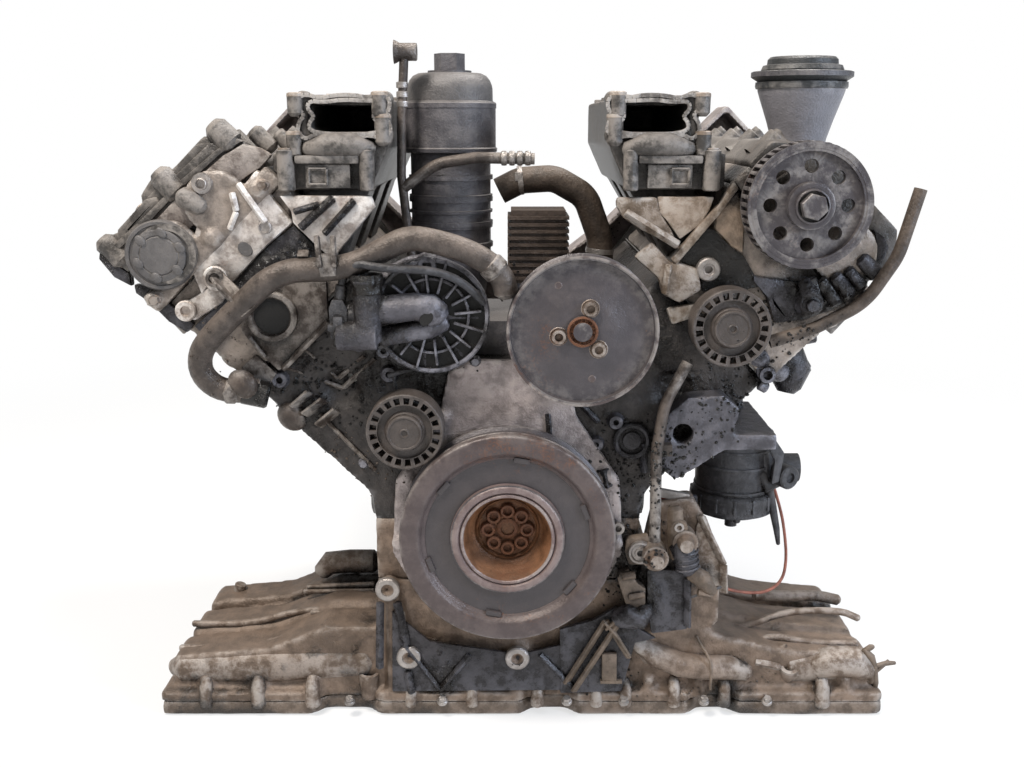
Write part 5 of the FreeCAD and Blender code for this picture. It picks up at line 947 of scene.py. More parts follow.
def left_head_front():
    """The stepped end of the cover, the bright end plate, the shelf and the cap of the left bank."""
    plate, shelf, steps, wet, bolts, dark = Kit(), Kit(), Kit(), Kit(), Kit(), Kit()
    steps.plate(-388, 16, 4, [(-258, 345), (-241, 343), (-233.5, 341.5), (-235.5, 334.5), (-265.5, 310),
                              (-308.5, 274), (-337, 249.5), (-347, 242), (-354, 248.5), (-347, 259.5),
                              (-333, 265.5), (-314, 287), (-315.5, 295), (-305.5, 309), (-286, 317.5)])
    steps.plate(-392, 10, 3, [(-252.5, 339), (-243.5, 340.5), (-238.5, 335), (-286.5, 297), (-290, 306)])
    steps.plate(-392, 10, 3, [(-311, 292), (-299.5, 295), (-296, 288), (-326.5, 263), (-330, 265)])
    steps.plate(-394, 10, 2, [(-228, 343.5), (-223, 340.5), (-240.5, 331.5), (-261.5, 314), (-277.5, 301.5),
                              (-304, 276), (-337, 248), (-340.5, 252.5), (-309.5, 279.5), (-281, 306),
                              (-264, 319), (-244, 335)])
    for start, end, radius in (((-234.5, -386, 339), (-247, -386, 351.5), 11.5),
                               ((-282.5, -388, 298), (-296, -388, 312), 11.5),
                               ((-334.5, -386, 240), (-349, -386, 255), 10.5),
                               ((-202.5, -380, 335), (-215, -380, 348), 8),
                               ((-186, -376, 335), (-196, -376, 345.5), 6.5)):
        steps.tube([start, end], [radius, radius * 0.94], 28)
    steps.tube([(-274.5, -398, 294.5), (-266.5, -402, 291), (-259.5, -400, 286)], [9.5, 9, 8], 24)
    plate.plate(-396, 8, 2.6, [(-222.5, 339), (-207.5, 335), (-198.5, 329.5), (-208.5, 319), (-223, 310),
                               (-236, 298.5), (-268, 270.5), (-277.5, 263.5), (-286, 270.5), (-304, 268),
                               (-303.5, 272.5), (-277, 298.5), (-240, 329)])
    bolts.turned((-257, -402, 306), FRONT, [(9.4, -8), (9.4, 1), (8.4, 3), (5.4, 3), (5, 6), (4.2, 6.6),
                                            (3.8, 2), (0, 2)], 12)
    shelf.plate(-401, 10, 3.4, [(-211.5, 318), (-202.5, 310.5), (-204.5, 301.5), (-182.5, 273),
                                (-207, 252.5), (-237, 221.5), (-249, 231), (-264.5, 210.5), (-271, 230),
                                (-270.5, 255), (-265, 270), (-234.5, 297), (-221, 306.5)])
    shelf.plate(-400, 9, 3, [(-264.5, 213.5), (-248.5, 224.5), (-241, 213.5), (-247, 204), (-272, 188),
                             (-283, 193.5), (-285.5, 201)])
    shelf.bar((-226.5, -404, 306.5), (-205, -404, 273.5), 5, 5, None, 1.8)
    shelf.bar((-232, -404, 299), (-229, -404, 283), 5, 5, None, 1.8)
    shelf.bar((-229, -404, 283), (-236, -404, 267.5), 4, 5, None, 1.5)
    shelf.turned((-278.5, -401, 197.5), FRONT, [(9.4, -4), (9.2, 1.6), (8, 2.6), (4.6, 2.6), (4, 0), (0, 0)],
                 30)
    shelf.turned((-250.5, -403, 226), FRONT, [(11, -4), (10.8, 1.6), (9.6, 2.6), (5.4, 2.6), (4.8, 0),
                                              (0, 0)], 32)
    bolts.turned((-206, -403, 269.5), FRONT, [(6, -1), (5.8, 0.8), (4.6, 1.4), (4.2, -0.5), (0, -0.5)], 24)
    dark.turned((-224, -402, 251), (0.1, -1, 0.1), [(5.4, -0.4), (5, 0.6), (0, 0.7)], 24, 1.3)
    shelf.plate(-404, 8, 2, [(-192.5, 296), (-115, 296), (-111.5, 286.5), (-142, 251.5), (-149, 241.5),
                             (-166, 257), (-182, 273.5), (-183, 283)])
    for start, end, wide in (((-146.5, -405, 294.5), (-175.5, -405, 269), 6),
                             ((-129, -405, 292.5), (-155.5, -405, 264), 4.6),
                             ((-158.5, -405, 289), (-180.5, -405, 282.5), 4)):
        wet.bar(start, end, wide, 5, None, 1)
    wet.plate(-398, 6, 1.5, [(-182.5, 271), (-167.5, 255.5), (-159, 240.5), (-184.5, 236.5),
                             (-205.5, 224.5), (-222.5, 208), (-238, 189), (-258, 168.5), (-273.5, 183),
                             (-247, 206), (-207, 251.5)])
    wet.plate(-398, 12, 2.5, [(-285, 194.5), (-273, 185), (-280, 177), (-295.5, 187), (-310.5, 203.5),
                              (-322.5, 212), (-323.5, 220), (-307.5, 217)])
    wet.plate(-392, 12, 2.5, [(-353, 248), (-345.5, 241.5), (-328, 228.5), (-327.5, 217), (-342, 225),
                              (-354, 241)])
    dark.turned((-296, -408, 246), FRONT, [(30, -10), (30, -2), (28.6, 0), (26, 0), (25.4, -1.2),
                                           (23.4, -1.2), (22.6, 0.8), (21.4, 1.4), (17.4, 1.4), (16.8, 0.6),
                                           (15.6, 1.6), (0, 1.4)], 72)
    for number in range(6):
        angle = math.tau * number / 6 + 0.35
        place = Vector((-295.5, -409.5, 246.5)) + Vector((math.cos(angle) * 19.4, 0, math.sin(angle)
                                                          * 19.4))
        dark.turned(place, FRONT, [(3.6, -1), (3.4, 1), (2.6, 1.6), (0, 1.6)], 16, 1.5)
    steps.plate(-392, 12, 3, [(-338, 246), (-322.5, 258), (-306.5, 268), (-321, 250), (-329, 228.5),
                              (-341.5, 240)])
    plate.done("cam_frame_skin", "frame_dirty")
    shelf.done("head_shelf_left", "head_bright")
    bolts.done("head_front_bolts_left", "bare_silver")
    steps.done("cover_steps_left", "cover_plastic")
    wet.done("head_wet_left", "wet_casting_and_shade")
    dark.done("cam_cap_face", "cap_plastic")


def left_block_front():
    """The plates, the core hole with a near-black disc painted as the shade inside it, the raised panel, the
    bolts and the fins on the block's left side.
    """
    plates, raised, bolts, hole_shade = Kit(), Kit(), Kit(), Kit()
    plates.plate(-398, 8, 2, [(-182.5, 234.5), (-156.5, 222), (-156, 189), (-161.5, 181), (-201.5, 143),
                              (-221, 162), (-232.5, 179), (-231.5, 197.5), (-214, 214), (-197, 230.5)])
    plates.plate(-396, 8, 2, [(-221.5, 157.5), (-204, 140.5), (-215, 124), (-235, 140.5), (-235, 146.5)])
    raised.turned((-204.5, -400, 192.5), FRONT, [(22.6, -4), (22, 2.6), (20, 4), (17.4, 3.8), (15.8, 1),
                                                 (15.6, -2)], 48)
    # A near-black disc painted as the shade inside the core hole.
    hole_shade.turned((-204.5, -400, 192.5), FRONT, [(16, 0.3), (6, 0.5), (0, 0.5)], 40)
    raised.bar((-155.5, -401, 187.5), (-197.5, -401, 145.5), 4, 5, None, 1)
    raised.bar((-225.5, -401, 175), (-212.5, -401, 156.5), 3, 4, None, 1)
    for start, end, width in (((-203.5, 146), (-149, 122.5), 3), ((-149, 122.5), (-117.5, 152), 3),
                              ((-182.5, 162), (-153, 131.5), 2.4), ((-153, 131.5), (-127, 154), 2.4),
                              ((-169.5, 100.5), (-120.5, 47), 3)):
        strut(raised, face, start, end, 0.6, width, 5, None, 1)
    rests(bolts.boss, [(-203, 133), (-105.5, 138)], 7, 6, 3)
    rests(bolts.hex_bolt, [(-109.5, 162.5), (-28.5, 151.5), (-131, 54.5), (-7.5, 222.5)], 4)
    for start, end in (((-182, 100), (-164, 114)), ((-170.5, 90), (-153, 104.5)),
                       ((-192, 107), (-176, 121))):
        strut(raised, face, start, end, 3, 2.6, 14, None, 0.8)
    for spot, radius, tall in (((-185.5, 81), 15, 9), ((-194.5, 98), 12, 8), ((-230, 134.5), 12, 8),
                               ((-161, 55), 12, 6)):
        rests(raised.dome, [spot], radius, tall, 24, 1.2)
    plates.done("block_plates_left", "block_brown")
    raised.done("block_ribs_left", "block_brown")
    bolts.done("block_bolts_left", "bracket_aluminium")
    hole_shade.done("block_core_hole_shade", "painted_cavity_shade")


def coolant_run():
    """The bent coolant pipe with its clamp, its fork and its strap."""
    pipe, clamp = Kit(), Kit()
    route = rounded([(-1, -420, 216.5), (-3.5, -422, 229), (-16, -424, 242.5), (-35, -425, 252.5),
                     (-59, -426, 260), (-82, -426, 263.5), (-101.5, -426, 254), (-121.5, -426, 243),
                     (-143.5, -426, 237), (-165, -426, 236.5), (-183, -426, 235.5), (-202, -426, 227),
                     (-218, -424, 212), (-235.5, -422, 195.5), (-254, -418, 177.5), (-265.5, -414, 162),
                     (-266.5, -410, 143.5), (-253.5, -408, 129.5), (-233.5, -406, 126.5), (-218, -402, 127)],
                    2)
    pipe.tube(route, [10.4] * len(route), 26)
    for index in (0.1, 0.9):
        spot = route[int(len(route) * index)]
        pipe.tube([spot + Vector((-3, 0, 3)), spot + Vector((3, 0, -3))], [11.8, 11.8], 26)
    clamp.bar((-248, -412, 227), (-221.5, -424, 202), 20, 3, (0, 1, 0), 1)
    clamp.prism([(-254, -410, 225), (-242.5, -410, 232), (-210.5, -432, 207), (-223, -432, 197)], (0, 3, 0),
                1)
    clamp.turned((-249, -410, 227), FRONT, [(8, -2), (7.6, 3), (5, 3.4), (4.6, 1), (0, 1)], 28)
    for start, end in (((-157.5, -430, 265), (-154.5, -436, 239.5)),
                       ((-144, -430, 265), (-142.5, -436, 239.5))):
        clamp.bar(start, end, 4, 9, (1, 0, 0), 1)
    clamp.plate(-437, 4, 1, [(-157.5, 251), (-141, 251), (-141.5, 232.5), (-154.5, 231.5)])
    clamp.bar((-175, -424, 248), (-165, -424, 248), 8, 8, None, 2)
    clamp.bar((-171, -424, 244.5), (-168.5, -424, 240), 9, 9, None, 2)
    pipe.done("coolant_pipe_run", "pipe_metal", "block", ["coolant_pipe"])
    clamp.done("coolant_clamps", "pipe_metal")


def coolant_front():
    """The volute and its ribs on the coolant pump; the black of the grille between the ribs, and of the
    opening in its middle, is shade painted on flat near-black discs.
    """
    body, ribs, gap_shade = Kit(), Kit(), Kit()
    body.tube([(-133, -417, 196), (-116, -419, 199.5), (-97.5, -419, 202), (-79, -419, 204),
               (-66, -418, 202.5), (-59, -417, 196)], [13, 13.5, 12.5, 12, 13, 12], 24)
    body.tube([(-108, -414, 176.5), (-87.5, -414, 180.5), (-67, -414, 184.5), (-54.5, -414, 190)],
              [8, 9, 9, 8], 20)
    # A near-black disc painted as the shade of the opening in the middle of the pump.
    gap_shade.turned((-68, -430, 195.5), FRONT, [(7, -1), (6.6, 0.6), (0, 0.6)], 24, 0.7)
    centre = Vector((-65, -412, 195))
    for number in range(16):
        angle = math.radians(22.5 * number + 6)
        away = Vector((math.cos(angle), 0, math.sin(angle)))
        ribs.bar(centre + away * 20, centre + away * (47 if number % 2 else 43), 2.2, 9, away.cross(FRONT),
                 0.7)
    ribs.turned(centre + Vector((0, 2, 0)), FRONT, [(50, -2), (50, 4), (48.6, 5), (46, 4.6), (45.4, -2)],
                56)
    ribs.turned(centre + Vector((0, 2, 0)), FRONT, [(33, -2), (33, 4), (31.8, 4.6), (30.8, 4), (30.4, -2)],
                48)
    # A near-black disc behind the ribs, painted as the shade between them.
    gap_shade.turned(centre + Vector((0, 1.6, 0)), FRONT, [(45.6, 0.2), (0, 0.3)], 40)
    body.boss((-68, -408, 238.5), FRONT, 8, 8, 4)
    body.boss((-125.5, -410, 219), FRONT, 7, 8, 3)
    body.boss((-107, -408, 164.5), FRONT, 6, 7, 2.6)
    body.done("coolant_volute", "bracket_aluminium")
    ribs.done("coolant_ribs", "bracket_aluminium")
    gap_shade.done("coolant_gap_shade", "painted_cavity_shade")


def left_wires():
    """The thin lines beside the coolant pump."""
    wire_piece("coolant_line", [(-104.5, -402, 139.5), (-95, -404, 143), (-85.5, -404, 146),
                                (-62.5, -404, 148), (-47.5, -404, 155.5), (-33, -402, 164.5)], 2.4,
               "mount_rubber")
    wire_piece("coolant_line_end", [(-100, -402, 139.5), (-99, -402, 131.5), (-98, -398, 125)], 1.6,
               "mount_rubber")
    wire_piece("bright_bow", [(-142.5, -428, 233), (-135, -430, 241), (-124, -428, 249), (-116, -420, 252)],
               1.2, "bare_silver")


# Right side at the pulley end

def right_head_front():
    """The plates, the ribs, the bright boss and the wet fins of the right bank, and a near-black plate
    painted as the shade in the hollow between them.
    """
    ribs, tan, bright, wet, arch_shade, bolts = Kit(), Kit(), Kit(), Kit(), Kit(), Kit()
    tan.plate(-400, 8, 1.6, [(127.5, 295), (175.5, 295), (172, 284), (164.5, 271.5), (147.5, 259),
                             (136, 274.5), (128.5, 282)])
    ribs.plate(-402, 9, 3, [(92.5, 294.5), (127, 294.5), (129.5, 282), (139, 268.5), (149, 249),
                            (130, 259.5), (114.5, 267), (98, 277.5), (92, 287.5)])
    ribs.bar((99.5, -406, 282.5), (145.5, -406, 254.5), 6, 7, None, 2)
    ribs.plate(-404, 11, 2.6, [(190.5, 309), (195.5, 302), (179, 279), (163, 259.5), (145, 237.5),
                               (139.5, 242), (162.5, 271), (178.5, 288.5)])
    ribs.plate(-400, 8, 5, [(177.5, 282), (196, 301), (202.5, 276), (203, 245), (191.5, 252.5),
                            (176.5, 267.5)])
    ribs.plate(-403, 10, 3.4, [(123.5, 257.5), (141, 238.5), (145, 240.5), (164.5, 233.5), (167.5, 215.5),
                               (149, 204), (133.5, 212), (130, 225.5), (108.5, 244)])
    ribs.bar((138, -406, 238.5), (135, -406, 213), 3, 6, None, 1)
    ribs.plate(-400, 8, 3, [(138, 199), (153, 202), (163, 203.5), (160, 190), (143, 184.5)])
    # A near-black plate painted as the shade in the hollow beside the bright boss.
    arch_shade.plate(-397, 5, 1, [(165, 269), (177, 267), (192, 253), (203.5, 244.5), (220, 218), (196, 213.5),
                              (169, 213.5), (165.5, 234), (148, 240)])
    bright.turned((172.5, -402, 233.5), FRONT, [(10.2, -8), (10, 2), (9, 3), (5.4, 3.2), (4.8, 2), (3.4, 2),
                                                (3.2, -4), (0, -4)], 30)
    wet.plate(-399, 12, 4, [(199, 244), (214.5, 227), (234, 225), (262, 220.5), (300, 231), (315, 259),
                            (312.5, 268), (323.5, 261), (328, 252), (324, 240), (306, 213.5), (283, 197.5),
                            (262, 189.5), (232.5, 185), (225.5, 207.5)])
    for start, end, radius in (((260.5, -404, 225.5), (267.5, -406, 203), 5),
                               ((269, -404, 223.5), (282.5, -406, 205.5), 5.5),
                               ((281.5, -404, 227.5), (293.5, -406, 213), 6),
                               ((292.5, -402, 232.5), (304.5, -404, 219), 5.5),
                               ((304, -400, 242), (317, -402, 229.5), 7)):
        wet.tube([start, end], [radius, radius * 1.1], 18)
    bolts.boss((261, -404, 205.5), FRONT, 10, 7)
    bolts.hex_bolt((260.5, -411, 204), FRONT, 6)
    bolts.tube([(255, -404, 223.5), (259.5, -408, 213)], [6, 8], 16)
    for start, end, radius in (((236.5, -380, 181), (263, -382, 187), 8),
                               ((237, -370, 173.5), (274.5, -372, 176), 9)):
        wet.tube([start, end], [radius, radius], 18)
    ribs.done("head_ribs_right", "head_stained")
    tan.done("head_plate_right", "head_tan")
    bright.done("head_boss_right", "bare_silver")
    wet.done("head_fins_right", "wet_casting_and_shade")
    arch_shade.done("head_arch_shade_right", "thin_oil_and_shade")
    bolts.done("head_bolt_right", "bracket_aluminium")


def right_low_unit():
    """The dark rounded unit, its arm and its knobs under the right bank."""
    unit, arm = Kit(), Kit()
    unit.tube([(248.5, -352, 156), (256.5, -350, 146.5), (262, -350, 132.5), (259, -352, 118.5)],
              [13, 17.5, 18.5, 13], 28)
    unit.tube([(265, -352, 148.5), (271.5, -350, 137), (267, -350, 123)], [7, 9, 7], 20)
    unit.rod((252.5, -362, 163), (267, -362, 160.5), 6)
    unit.rod((269, -356, 164.5), (281, -356, 167), 6.5)
    arm.tube([(221, -390, 155), (236.5, -378, 143.5), (248.5, -366, 134.5)], [9, 8, 9], 20)
    arm.plate(-392, 6, 2, [(218.5, 155.5), (231, 155.5), (238.5, 139), (236.5, 132), (228, 130),
                           (221.5, 137.5)])
    arm.turned((230.5, -392, 138.5), FRONT, [(7.5, -2), (7.2, 3), (4.2, 3.4), (4, -1), (0, -1)], 28)
    arm.rod((224.5, -388, 129), (232, -388, 125), 5)
    unit.done("low_unit", "wet_casting_and_shade")
    arm.done("low_unit_arm", "bracket_aluminium")


def right_block_front():
    """The round seats, the bolts and the ribs between the damper and the right bracket."""
    seats, bolts, dark = Kit(), Kit(), Kit()
    rests(seats.turned, [(112.5, 76)], [(17, -2), (16.6, 4), (15, 5), (12.6, 4.4), (12, 1), (8.4, 1), (8, 3),
                                        (5, 3.4), (0, 3.4)], 40)
    rests(bolts.boss, [(97.5, 94), (80, 73)], 6.4, 6, 2.6)
    rests(bolts.hex_bolt, [(111, -25.5)], 6)
    for start, end, width in (((36, 103.5), (38, 78), 3), ((65.5, 110), (82, 93), 4),
                              ((87, 52), (91.5, 34.5), 8), ((123.5, 73.5), (124.5, 45.5), 5)):
        strut(seats, face, start, end, 1, width, 6, None, 1.4)
    seats.plate(-372, 6, 1, [(162.5, 15.5), (143, 13), (142, 22), (177, 17.5), (177.5, 6.5)])
    seats.done("block_seats_right", "wet_casting_and_shade")
    bolts.done("block_bolts_right", "bracket_aluminium")
    strip = Kit()
    strip.bar((140.5, -376, 17), (168, -376, 14), 11, 3, (0, 0, 1), 0.8)
    strip.done("red_strip", "sealant_red")
    edge = Kit()
    edge.bar((140, -379, 15), (166.5, -379, 14), 2.4, 4, (0, 0, 1), 0.6)
    edge.bar((139.5, -378, 24), (167.5, -378, 18.5), 8, 6, (0, 0, 1), 1)
    edge.done("red_strip_edge", "bare_silver")


# Sump, senders and mount

def sump_details():
    """The rounded blocks, ridges, pipes and domes that the sump's wings show."""
    cast_part, domes, wet, bolts = Kit(), Kit(), Kit(), Kit()
    for number, (x, radius, tall) in enumerate(((-287, 6.6, 17), (-237.5, 7.2, 18), (-186, 7, 18),
                                                (-92, 6, 10), (-34, 6, 10), (28, 6, 10), (84, 6, 10),
                                                (112, 6, 12), (158, 6.2, 15), (206, 6.2, 15),
                                                (299, 7.4, 17))):
        place = Vector((x, -396.5, -176))
        domes.tube([place + Vector((0, 4, -7)), place + Vector((0, 2, 0)),
                    place + Vector((0, 3, tall * 0.6)), place + Vector((0, 8, tall)),
                    place + Vector((0, 14, tall + 3))], [radius * 1.15, radius, radius * 0.95, radius * 0.75,
                                                         radius * 0.3], 20)
    for start, end in ((-322, -124), (262, 340)):
        cast_part.tube([(start, -372, -157), (start + 10, -379, -153), ((start + end) / 2, -380, -150),
                        (end - 12, -379, -146), (end, -374, -144)], [9, 15, 17, 15, 9], 24, oval=0.8)
    cast_part.tube([(136, -385, -140), (121.5, -386, -122.5), (141, -388, -135.5), (163, -390, -144),
                    (184.5, -390, -147), (211, -390, -147.5), (228.5, -386, -154.5)],
                   [8, 11, 12, 12, 12, 11.5, 8], 26)
    cast_part.tube([(293.5, -384, -149.5), (307.5, -386, -143.5), (329.5, -386, -143.5),
                    (344, -382, -155.5)], [12, 15, 15, 10], 24)
    for points, radius in (([(176.5, -352, -121), (208, -352, -123.5), (235.5, -350, -124.5),
                             (271, -350, -108.5), (324.5, -350, -107.5), (343, -350, -116)], 3.4),
                           ([(194, -372, -136.5), (205.5, -368, -134), (239.5, -366, -133.5),
                             (259, -366, -126.5), (293, -366, -135), (337.5, -366, -135)], 3.6),
                           ([(250.5, -310, -110), (285.5, -310, -111), (314, -308, -111), (335, -308, -116)],
                            5.5), ([(-317, -366, -139.5), (-246, -366, -138.5), (-217.5, -366, -128),
                                    (-160.5, -366, -120.5), (-152, -366, -123.5)], 3.4),
                           ([(-312.5, -336, -128.5), (-252, -336, -128.5), (-209, -336, -114),
                             (-132.5, -336, -110.5)], 3.2), ([(-203, -306, -102.5), (-136, -306, -100)], 3),
                           ([(-206, -312, -105), (-135.5, -312, -104)], 2.4),
                           ([(-194, -340, -114.5), (-143, -340, -114.5)], 2.4)):
        route = rounded(points)
        cast_part.tube(route, [radius] * len(route), 12)
    cast_part.tube([(-192, -290, -93.5), (-184, -286, -85), (-162, -286, -83), (-138, -286, -83)],
                   [9, 12, 12, 12], 20)
    cast_part.rod((-285.5, -262, -127.5), (-283, -262, -118.5), 6)
    cast_part.turned((-132.5, -386, -157.5), UP, [(8.6, -22), (9.4, -2), (9.4, 2), (6.4, 2.6), (6, -6),
                                                  (0, -6)], 28)
    cast_part.bar((-144, -386, -132), (-148, -380, -124), 8, 8, None, 2)
    cast_part.turned((268.5, -386, -148.5), (0, -0.5, 1), [(8.6, -18), (9.6, -2), (9.6, 1), (6, 1.4),
                                                           (5.6, -6), (0, -6)], 28)
    for start, end in (((235.5, -386, -143.5), (259.5, -388, -148.5)),
                       ((278, -388, -147.5), (297, -384, -140)), ((264, -378, -128.5), (260, -384, -145))):
        cast_part.bar(start, end, 6, 7, None, 1.8)
    for x, z in ((-111, -63.5), (-93, -132), (9, -133)):
        bolts.turned((x, -399.5, z), FRONT, [(11.4, -3), (11.2, 1.4), (10, 2.4), (6, 2.4), (5.4, 0),
                                             (5.2, -7), (0, -7)], 36)
    for x in (-150, -62, 56, 110, 186, 246):
        bolts.hex_bolt((x, -399, -178), (0, -0.4, 1), 4)
    cast_part.done("sump_forms", "lower_casting")
    domes.done("sump_domes", "lower_casting")
    bolts.done("sump_eyes", "bare_silver")
    wet.plate(-399, 6, 2, [(48.5, -104), (80.5, -94.5), (101.5, -81), (117, -99.5), (139, -113.5),
                           (119.5, -118), (108, -168), (49.5, -170)])
    wet.bar((-118, -400, -76), (-120.5, -400, -143), 6, 6, None, 1.5)
    wet.bar((-102.5, -400, -76), (-95, -400, -119), 7, 6, None, 1.5)
    wet.bar((-94, -400, -146.5), (-91, -400, -169), 6, 6, None, 1.5)
    # A near-black plate painted as the shade of the recess in the middle of the sump front, under the damper;
    # the bars across it are its webs.
    wet.plate(-398, 4, 1, [(-107.5, -86.5), (-72.5, -117), (11.5, -130), (63, -117), (97, -86.5),
                           (102.5, -166.5), (-109.5, -168.5)])
    wet.bar((-100.5, -400, -114), (-64, -400, -165.5), 4, 5, None, 1)
    wet.bar((-35.5, -400, -129), (-64, -400, -165.5), 4, 5, None, 1)
    wet.bar((30, -400, -129), (63.5, -400, -165.5), 4, 5, None, 1)
    wet.done("sump_recess_shade_and_webs", "wet_casting_and_shade")


def tower_details():
    """The web, the senders, the plugs and the straps on the tower beside the damper."""
    web, brown, wet, bright, straps = Kit(), Kit(), Kit(), Kit(), Kit()
    web.plate(-388, 5, 1.6, [(173.5, -8), (178, 5), (183, 3), (200.5, -42), (201.5, -64), (186, -67.5),
                             (174.5, -40)])
    web.bar((176.5, -390, 5), (200, -390, -42.5), 3, 8, None, 1)
    web.bar((200, -390, -42.5), (202, -390, -71), 3, 8, None, 1)
    brown.tube([(152, -398, 14.5), (153, -400, -3.5), (157, -402, -29.5)], [7, 8, 9], 24)
    brown.turned((155.5, -404, -1), FRONT, [(8, -3), (7.6, 3), (4, 3.4), (3.6, 0), (0, 0)], 28)
    wet.tube([(156.5, -402, -16), (160.5, -404, -24), (163.5, -404, -37.5), (166, -402, -43)],
             [10.5, 11.5, 11, 8], 28)
    for number in range(4):
        wet.turned(Vector((162, -404, -30)) + Vector((number * 0.6, 0, 6 - 5 * number)),
                   (0.16, 0, -1), [(11.4, -1.4), (12.2, 0), (11.4, 1.4)], 28)
    brown.plate(-399, 10, 2.5, [(108.5, -14), (128.5, -10.5), (133, -22), (131.5, -40), (111.5, -40),
                                (107, -26.5)])
    bright.turned((121, -402, -26), FRONT, [(10.6, -3), (10.4, 2), (8.6, 2.6), (7.4, 1.2), (5.2, 1.2),
                                            (4.6, 2.6), (3, 2.6), (2.6, 0), (0, 0)], 30)
    bright.turned((155, -408, 0.5), FRONT, [(4.4, -1), (4.4, 0.6), (2.4, 0.8), (2.2, -2), (0, -2)], 20)
    bright.turned((101, -399, -3.5), FRONT, [(6, -2), (5.6, 2), (3, 2.2), (2.6, -1), (0, -1)], 20)
    brown.plate(-404, 12, 2.2, [(103, -44.5), (111, -41), (119.5, -55.5), (127, -60.5), (127.5, -81),
                                (118.5, -90), (109.5, -78.5), (100.5, -51)])
    brown.bar((104.5, -406, -48), (117, -406, -46), 6, 5, None, 1)
    brown.bar((111.5, -406, -68.5), (126, -406, -66), 5, 5, None, 1)
    brown.tube([(169, -402, -45.5), (178.5, -404, -51), (187.5, -404, -63.5)], [7.5, 8.5, 6], 18)
    brown.bar((174.5, -406, -63), (188, -406, -66), 7, 6, None, 1.4)
    wet.plate(-398, 8, 2, [(128.5, -45), (164.5, -45), (168, -104.5), (134.5, -109), (129.5, -81.5)])
    wet.bar((165.5, -402, -52), (167, -402, -100), 3, 7, None, 0.8)
    wet.tube([(101.5, -402, -91), (112, -404, -87.5), (122.5, -404, -90), (129, -402, -82)], [9, 12, 11, 8],
             18)
    straps.bar((54.5, -401, -158.5), (91, -404, -92.5), 7, 3, None, 0.8)
    straps.bar((62, -402, -166), (101.5, -405, -96.5), 7, 3, None, 0.8)
    straps.bar((91, -404, -92.5), (113, -404, -129.5), 5, 3, None, 0.8)
    straps.bar((95, -401, -126.5), (95.5, -401, -154.5), 14, 6, (1, 0, 0), 1.5)
    straps.bar((87, -402, -155.5), (107.5, -402, -155.5), 3, 5, (0, 0, 1), 0.8)
    web.done("tower_web", "lower_casting")
    brown.done("tower_plugs", "brown_plastic")
    wet.done("tower_wet", "wet_casting_and_shade")
    bright.done("tower_bolts", "bare_silver")
    straps.done("tower_straps", "brown_plastic")
    wire_piece("loom_a", [(178.5, -388, -116.5), (181, -392, -121.5), (189, -400, -131.5),
                          (191.5, -402, -144.5), (191.5, -400, -165)], 1.3, "brown_plastic")
    wire_piece("loom_b", [(89.5, -406, -93.5), (99.5, -407, -104.5), (106, -406, -114.5),
                          (114, -405, -129.5)], 1.5, "brown_plastic")
    wire_piece("loom_c", [(91, -405, -101), (101, -408, -90.5), (111.5, -406, -77.5)], 1.8, "brown_plastic")
    wire_piece("loom_d", [(167, -402, -70.5), (174.5, -406, -66), (187.5, -404, -62.5),
                          (197.5, -396, -62.5)], 1.3, "mount_rubber")


def rear_details():
    """Bolts, ribs, plugs and the crank's seal ring on the rear cover."""
    ribs, bolts, seal = Kit(), Kit(), Kit()
    part = nodes["rear_timing_cover"]
    skin = BVHTree.FromPolygons([part.matrix_world @ corner.co for corner in part.data.vertices],
                                [list(side.vertices) for side in part.data.polygons])

    def back(x, z, lift=0.0):
        hit = skin.ray_cast(mm(x, 200, z), FRONT)[0]
        return hit / MM - FRONT * lift if hit else None
    rim = []
    for side in (-1, 1):
        rim += [(side * x, z) for x, z in ((100, -40), (112, 0), (128, 44), (150, 76), (178, 106),
                                           (206, 134), (234, 162), (262, 190), (288, 216), (262, 262),
                                           (236, 288), (196, 246), (166, 216), (136, 186), (106, 158),
                                           (72, 132), (36, 122))]
    rim += [(0, 118), (-50, -52), (50, -52)]
    for x, z in rim:
        place = back(x, z)
        if place:
            ribs.turned(place, -FRONT, [(9, -1), (8.6, 1.6), (7.6, 2.4), (0, 2.4)], 20)
            bolts.hex_bolt(place - FRONT * 2, -FRONT, 4)
    for side in (-1, 1):
        for start, end in (((side * 60, 30), (side * 250, 218)), ((side * 88, -10), (side * 210, 112)),
                           ((side * 30, 60), (side * 130, 160)), ((side * 150, 110), (side * 116, 150)),
                           ((side * 205, 160), (side * 168, 200)), ((side * 250, 200), (side * 218, 240))):
            strut(ribs, back, start, end, 0, 5, 5, FRONT, 1.5)
        place = back(side * 232, 226)
        if place:
            ribs.turned(place, -FRONT, [(25, -1), (24, 2.6), (21, 3), (20, 1), (6, 1.4), (0, 1.6)], 40)
        place = back(side * 150, 140)
        if place:
            ribs.turned(place, -FRONT, [(19, -1), (18, 2.6), (15, 3), (14, 1), (0, 1)], 36)
    seal.turned((0, -8, 0), -FRONT, [(58, -12), (58, -4), (56, -3), (49, -3), (47, -5), (46, -12)], 64)
    ribs.done("rear_ribs", "cover_aluminium")
    bolts.done("rear_bolts", "bolt_steel")
    seal.done("rear_seal", "mount_rubber")


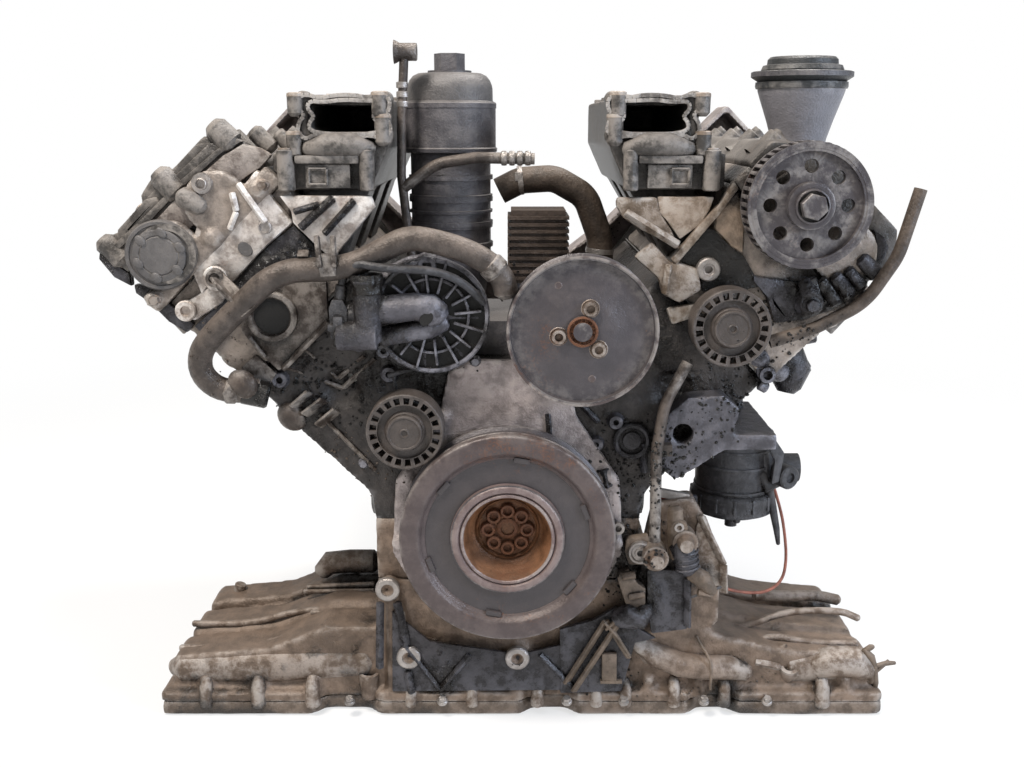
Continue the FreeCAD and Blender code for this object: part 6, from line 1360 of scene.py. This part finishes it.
def broken_plug():
    """The broken brown connector at the sump's right end, drawn in by PLUG_INSET to stay on the wing."""
    twigs = Kit()
    for start, end, radius in (((354.5, -384, -133), (365, -386, -148.5), 3.4),
                               ((355.5, -384, -133), (363, -384, -129), 2.6),
                               ((365, -386, -148.5), (385, -384, -146), 2.2),
                               ((365, -386, -148.5), (366.5, -384, -187), 3),
                               ((357, -384, -166.5), (366, -386, -163), 2.6),
                               ((365.5, -386, -155.5), (378.5, -384, -143.5), 1.8),
                               ((353.5, -384, -145), (365, -386, -148.5), 3),
                               ((360.5, -384, -140), (363, -386, -165.5), 3.2)):
        start, end = Vector(start) - PLUG_INSET, Vector(end) - PLUG_INSET
        middle = (start + end) / 2 + Vector((1.5, 0, 1.5))
        twigs.tube([start, middle, end], [radius, radius * 1.15, radius * 0.8], 10)
    twigs.done("broken_plug", "brown_plastic")


def mount_details():
    """The rings, the ribs, the clip and the connector with its sleeve on the engine mount."""
    ring, plugs = Kit(), Kit()
    centre = Vector((222, -310, 0))
    for low, radius in ((10, 37.6), (34, 37.8), (50, 37.4)):
        ring.turned(centre + Vector((0, 0, low)), UP, [(radius - 1, -1.6), (radius + 0.6, -1),
                                                       (radius + 0.6, 1), (radius - 1, 1.6)], 56)
    ring.turned(centre, UP, [(37, -12), (40.5, -10), (41.5, -2), (41.5, 3), (39, 6), (37, 7)], 56)
    for number in range(14):
        angle = math.tau * number / 14 + 0.1
        away = Vector((math.cos(angle), math.sin(angle), 0))
        ring.bar(centre + away * 41 + Vector((0, 0, -9)), centre + away * 40 + Vector((0, 0, 5)), 3, 3.4,
                 away.cross(UP), 0.8)
    ring.dome(centre + Vector((0, 0, 62)), UP, 34, 14, 40)
    ring.rod((221, -338, -7.5), (221.5, -338, -21), 4)
    ring.prism([(236, -350, 60), (252, -352, 66), (262, -348, 52), (258, -350, 24), (250, -352, 22),
                (252, -352, 46), (246, -352, 56)], (0, 7, 0), 2)
    plugs.tube([(244, -336, 28), (249, -336, 16.5), (267.5, -336, 24.5)], [6, 8, 6], 18)
    plugs.turned((266.5, -340, 26.5), (0.5, -1, 0), [(11, -12), (11.4, -2), (11.4, 5), (10, 6.4), (5, 6.4),
                                                     (4.6, 4), (0, 4)], 30)
    plugs.tube([(244.5, -334, 48), (249.5, -334, 22.5), (257, -332, -6), (262.5, -332, -30),
                (265, -332, -45.5)], [5.5, 5, 4, 3.2, 2], 16)
    ring.done("mount_rings", "mount_rubber")
    plugs.done("mount_plugs", "mount_rubber")


idler_hubs()
left_head_front()
left_block_front()
coolant_front()
left_wires()
coolant_run()
right_head_front()
right_low_unit()
right_block_front()
sump_details()
tower_details()
rear_details()
broken_plug()
mount_details()
WET_REGIONS = ((130, 60, 62, 46, 350), (120, -40, 46, 60, 260), (-160, 130, 60, 50, 210),
               (30, 210, 40, 24, 80), (240, 190, 60, 40, 210), (200, 120, 50, 40, 160),
               (60, -150, 90, 24, 130), (-60, 170, 40, 40, 120))
crust("crust_wet", WET_REGIONS, "thin_oil_and_shade", 5)
DUST_REGIONS = ((-230, 160, 60, 60, 130), (150, 250, 60, 40, 130), (-120, 60, 60, 50, 130),
                (180, -160, 120, 16, 120))
crust("crust_dust", DUST_REGIONS, "crust_dirt", 9, 0.6, 1.8)
